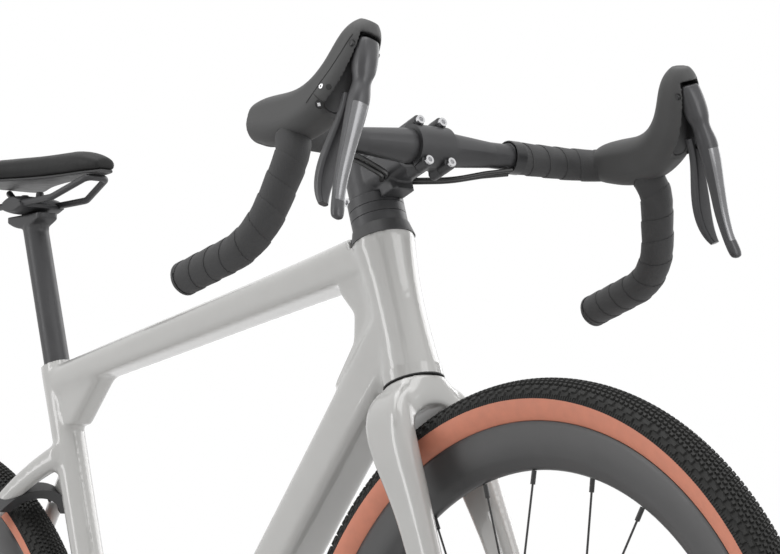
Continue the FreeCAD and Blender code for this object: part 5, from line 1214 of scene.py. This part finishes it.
@dataclass
class Studio:
    """A pale floor, soft lights and the camera at the photograph's angle."""

    camera_place: Triple = (2604.3, -1813.7, 484.3)
    camera_turn: float = 51.602
    camera_lift: float = -6.354
    camera_roll: float = -0.238
    focal_pixels: float = 3209.1
    picture_width: float = 780.0
    sensor_width: float = 36.0
    far_limit: float = 100.0
    lamp_target: Triple = (0.1, 0.0, 0.6)
    floor_radius: float = 7.0
    floor_segments: int = 96
    floor_height: float = -0.5
    floor_fade: Spot = (1.1, 2.6)
    fill_light: float = 0.39

    def camera(self) -> None:
        """Places the camera."""
        turn, lift = math.radians(self.camera_turn), math.radians(self.camera_lift)
        back = Vector((math.cos(lift) * math.sin(turn), -math.cos(lift) * math.cos(turn), math.sin(lift)))
        right = Vector((0.0, 0.0, 1.0)).cross(back).normalized()
        upward = back.cross(right)
        roll = Matrix.Rotation(math.radians(self.camera_roll), 4, "Z")
        axes = Matrix((right, upward, back)).transposed().to_4x4() @ roll
        lens = bpy.data.cameras.new("camera")
        lens.sensor_width = self.sensor_width
        lens.lens = self.focal_pixels / self.picture_width * self.sensor_width
        lens.clip_end = self.far_limit
        camera = add_object("camera", lens)
        camera.matrix_world = Matrix.Translation(Vector(self.camera_place) * MM) @ axes
        bpy.context.scene.camera = camera

    def floor_material(self) -> Material:
        """A pale floor that turns into the white surround away from the bike.

        Returns:
            The material.
        """
        material = PALE_FLOOR.material()
        tree = material.node_tree
        near, far = self.floor_fade
        place = add_node(tree, "TexCoord")
        distance = add_node(tree, "VectorMath", operation="LENGTH")
        fade = add_node(tree, "MapRange", {"From Min": near, "From Max": far},
                        interpolation_type="SMOOTHSTEP")
        seen = add_seen(tree)
        share = add_node(tree, "Math", operation="MULTIPLY")
        glow = add_node(tree, "Emission")
        blend = add_node(tree, "MixShader")
        wire(tree, (place, "Object", distance, 0), (distance, "Value", fade, "Value"),
             (fade, "Result", share, 0), (seen, 0, share, 1), (share, 0, blend, 0),
             (tree.nodes["Principled BSDF"], 0, blend, 1), (glow, 0, blend, 2),
             (blend, 0, tree.nodes["Material Output"], "Surface"))
        return material

    def floor(self) -> None:
        """Lays a round pale floor."""
        form = bmesh.new()
        bmesh.ops.create_circle(form, cap_ends=True, segments=self.floor_segments, radius=self.floor_radius)
        bmesh.ops.translate(form, vec=(0.0, 0.0, self.floor_height * MM), verts=form.verts)
        mesh = as_mesh("floor", form)
        mesh.materials.append(self.floor_material())
        floor = add_object("floor", mesh)

    def world(self) -> None:
        """A white surround for the camera and for reflections, and a softer one as light."""
        world = bpy.data.worlds.new("studio")
        world.use_nodes = True
        tree = world.node_tree
        surround = tree.nodes["Background"]
        set_inputs(surround, {"Color": (1.0, 1.0, 1.0, 1.0)})
        strength = add_node(tree, "MapRange", {"To Min": self.fill_light, "To Max": 1.0})
        wire(tree, (add_seen(tree), 0, strength, "Value"), (strength, "Result", surround, "Strength"))
        bpy.context.scene.world = world

    def lamps(self) -> None:
        """Hangs the soft boxes."""
        for name, place, size, power in SOFT_BOXES:
            light = bpy.data.lights.new(name, "AREA")
            light.shape = "RECTANGLE"
            light.size, light.size_y = size
            light.energy = power
            way = Vector(place) - Vector(self.lamp_target)
            facing = way.to_track_quat("Z", "Y").to_matrix().to_4x4()
            add_object(name, light).matrix_world = Matrix.Translation(Vector(place)) @ facing

    def build(self) -> None:
        """Sets the studio up."""
        bpy.context.scene.view_settings.view_transform = "Standard"
        self.floor()
        self.world()
        self.lamps()
        self.camera()


def main() -> None:
    """Builds the bike's pieces in order and reports them."""
    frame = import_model()
    nodes = frame["nodes"]
    for finish, names in NODE_FINISHES.items():
        for name in names:
            for holder in nodes[name].material_slots:
                holder.material = finish.material()
    for shell in SHELLS:
        shell.build(nodes)
    SaddlePad().build(nodes)
    HeadSeal().build()
    for hand in (-1, 1):
        side = BarSide(hand)
        WoundTape(side).build()
        MouldedShell("hood_" + side.label, "steering", "hood_rubber", HOOD_RUBBER, voxel=1.1, blend_rounds=12,
                     blend_limit=3.0).build(nodes)
        HoodTrim(side).build(nodes)
        LeverBlade(side).build()
    Wheel("front", 517.0).build()
    Wheel("rear", -517.0).build()
    Studio().build()


if __name__ == "__main__":
    main()
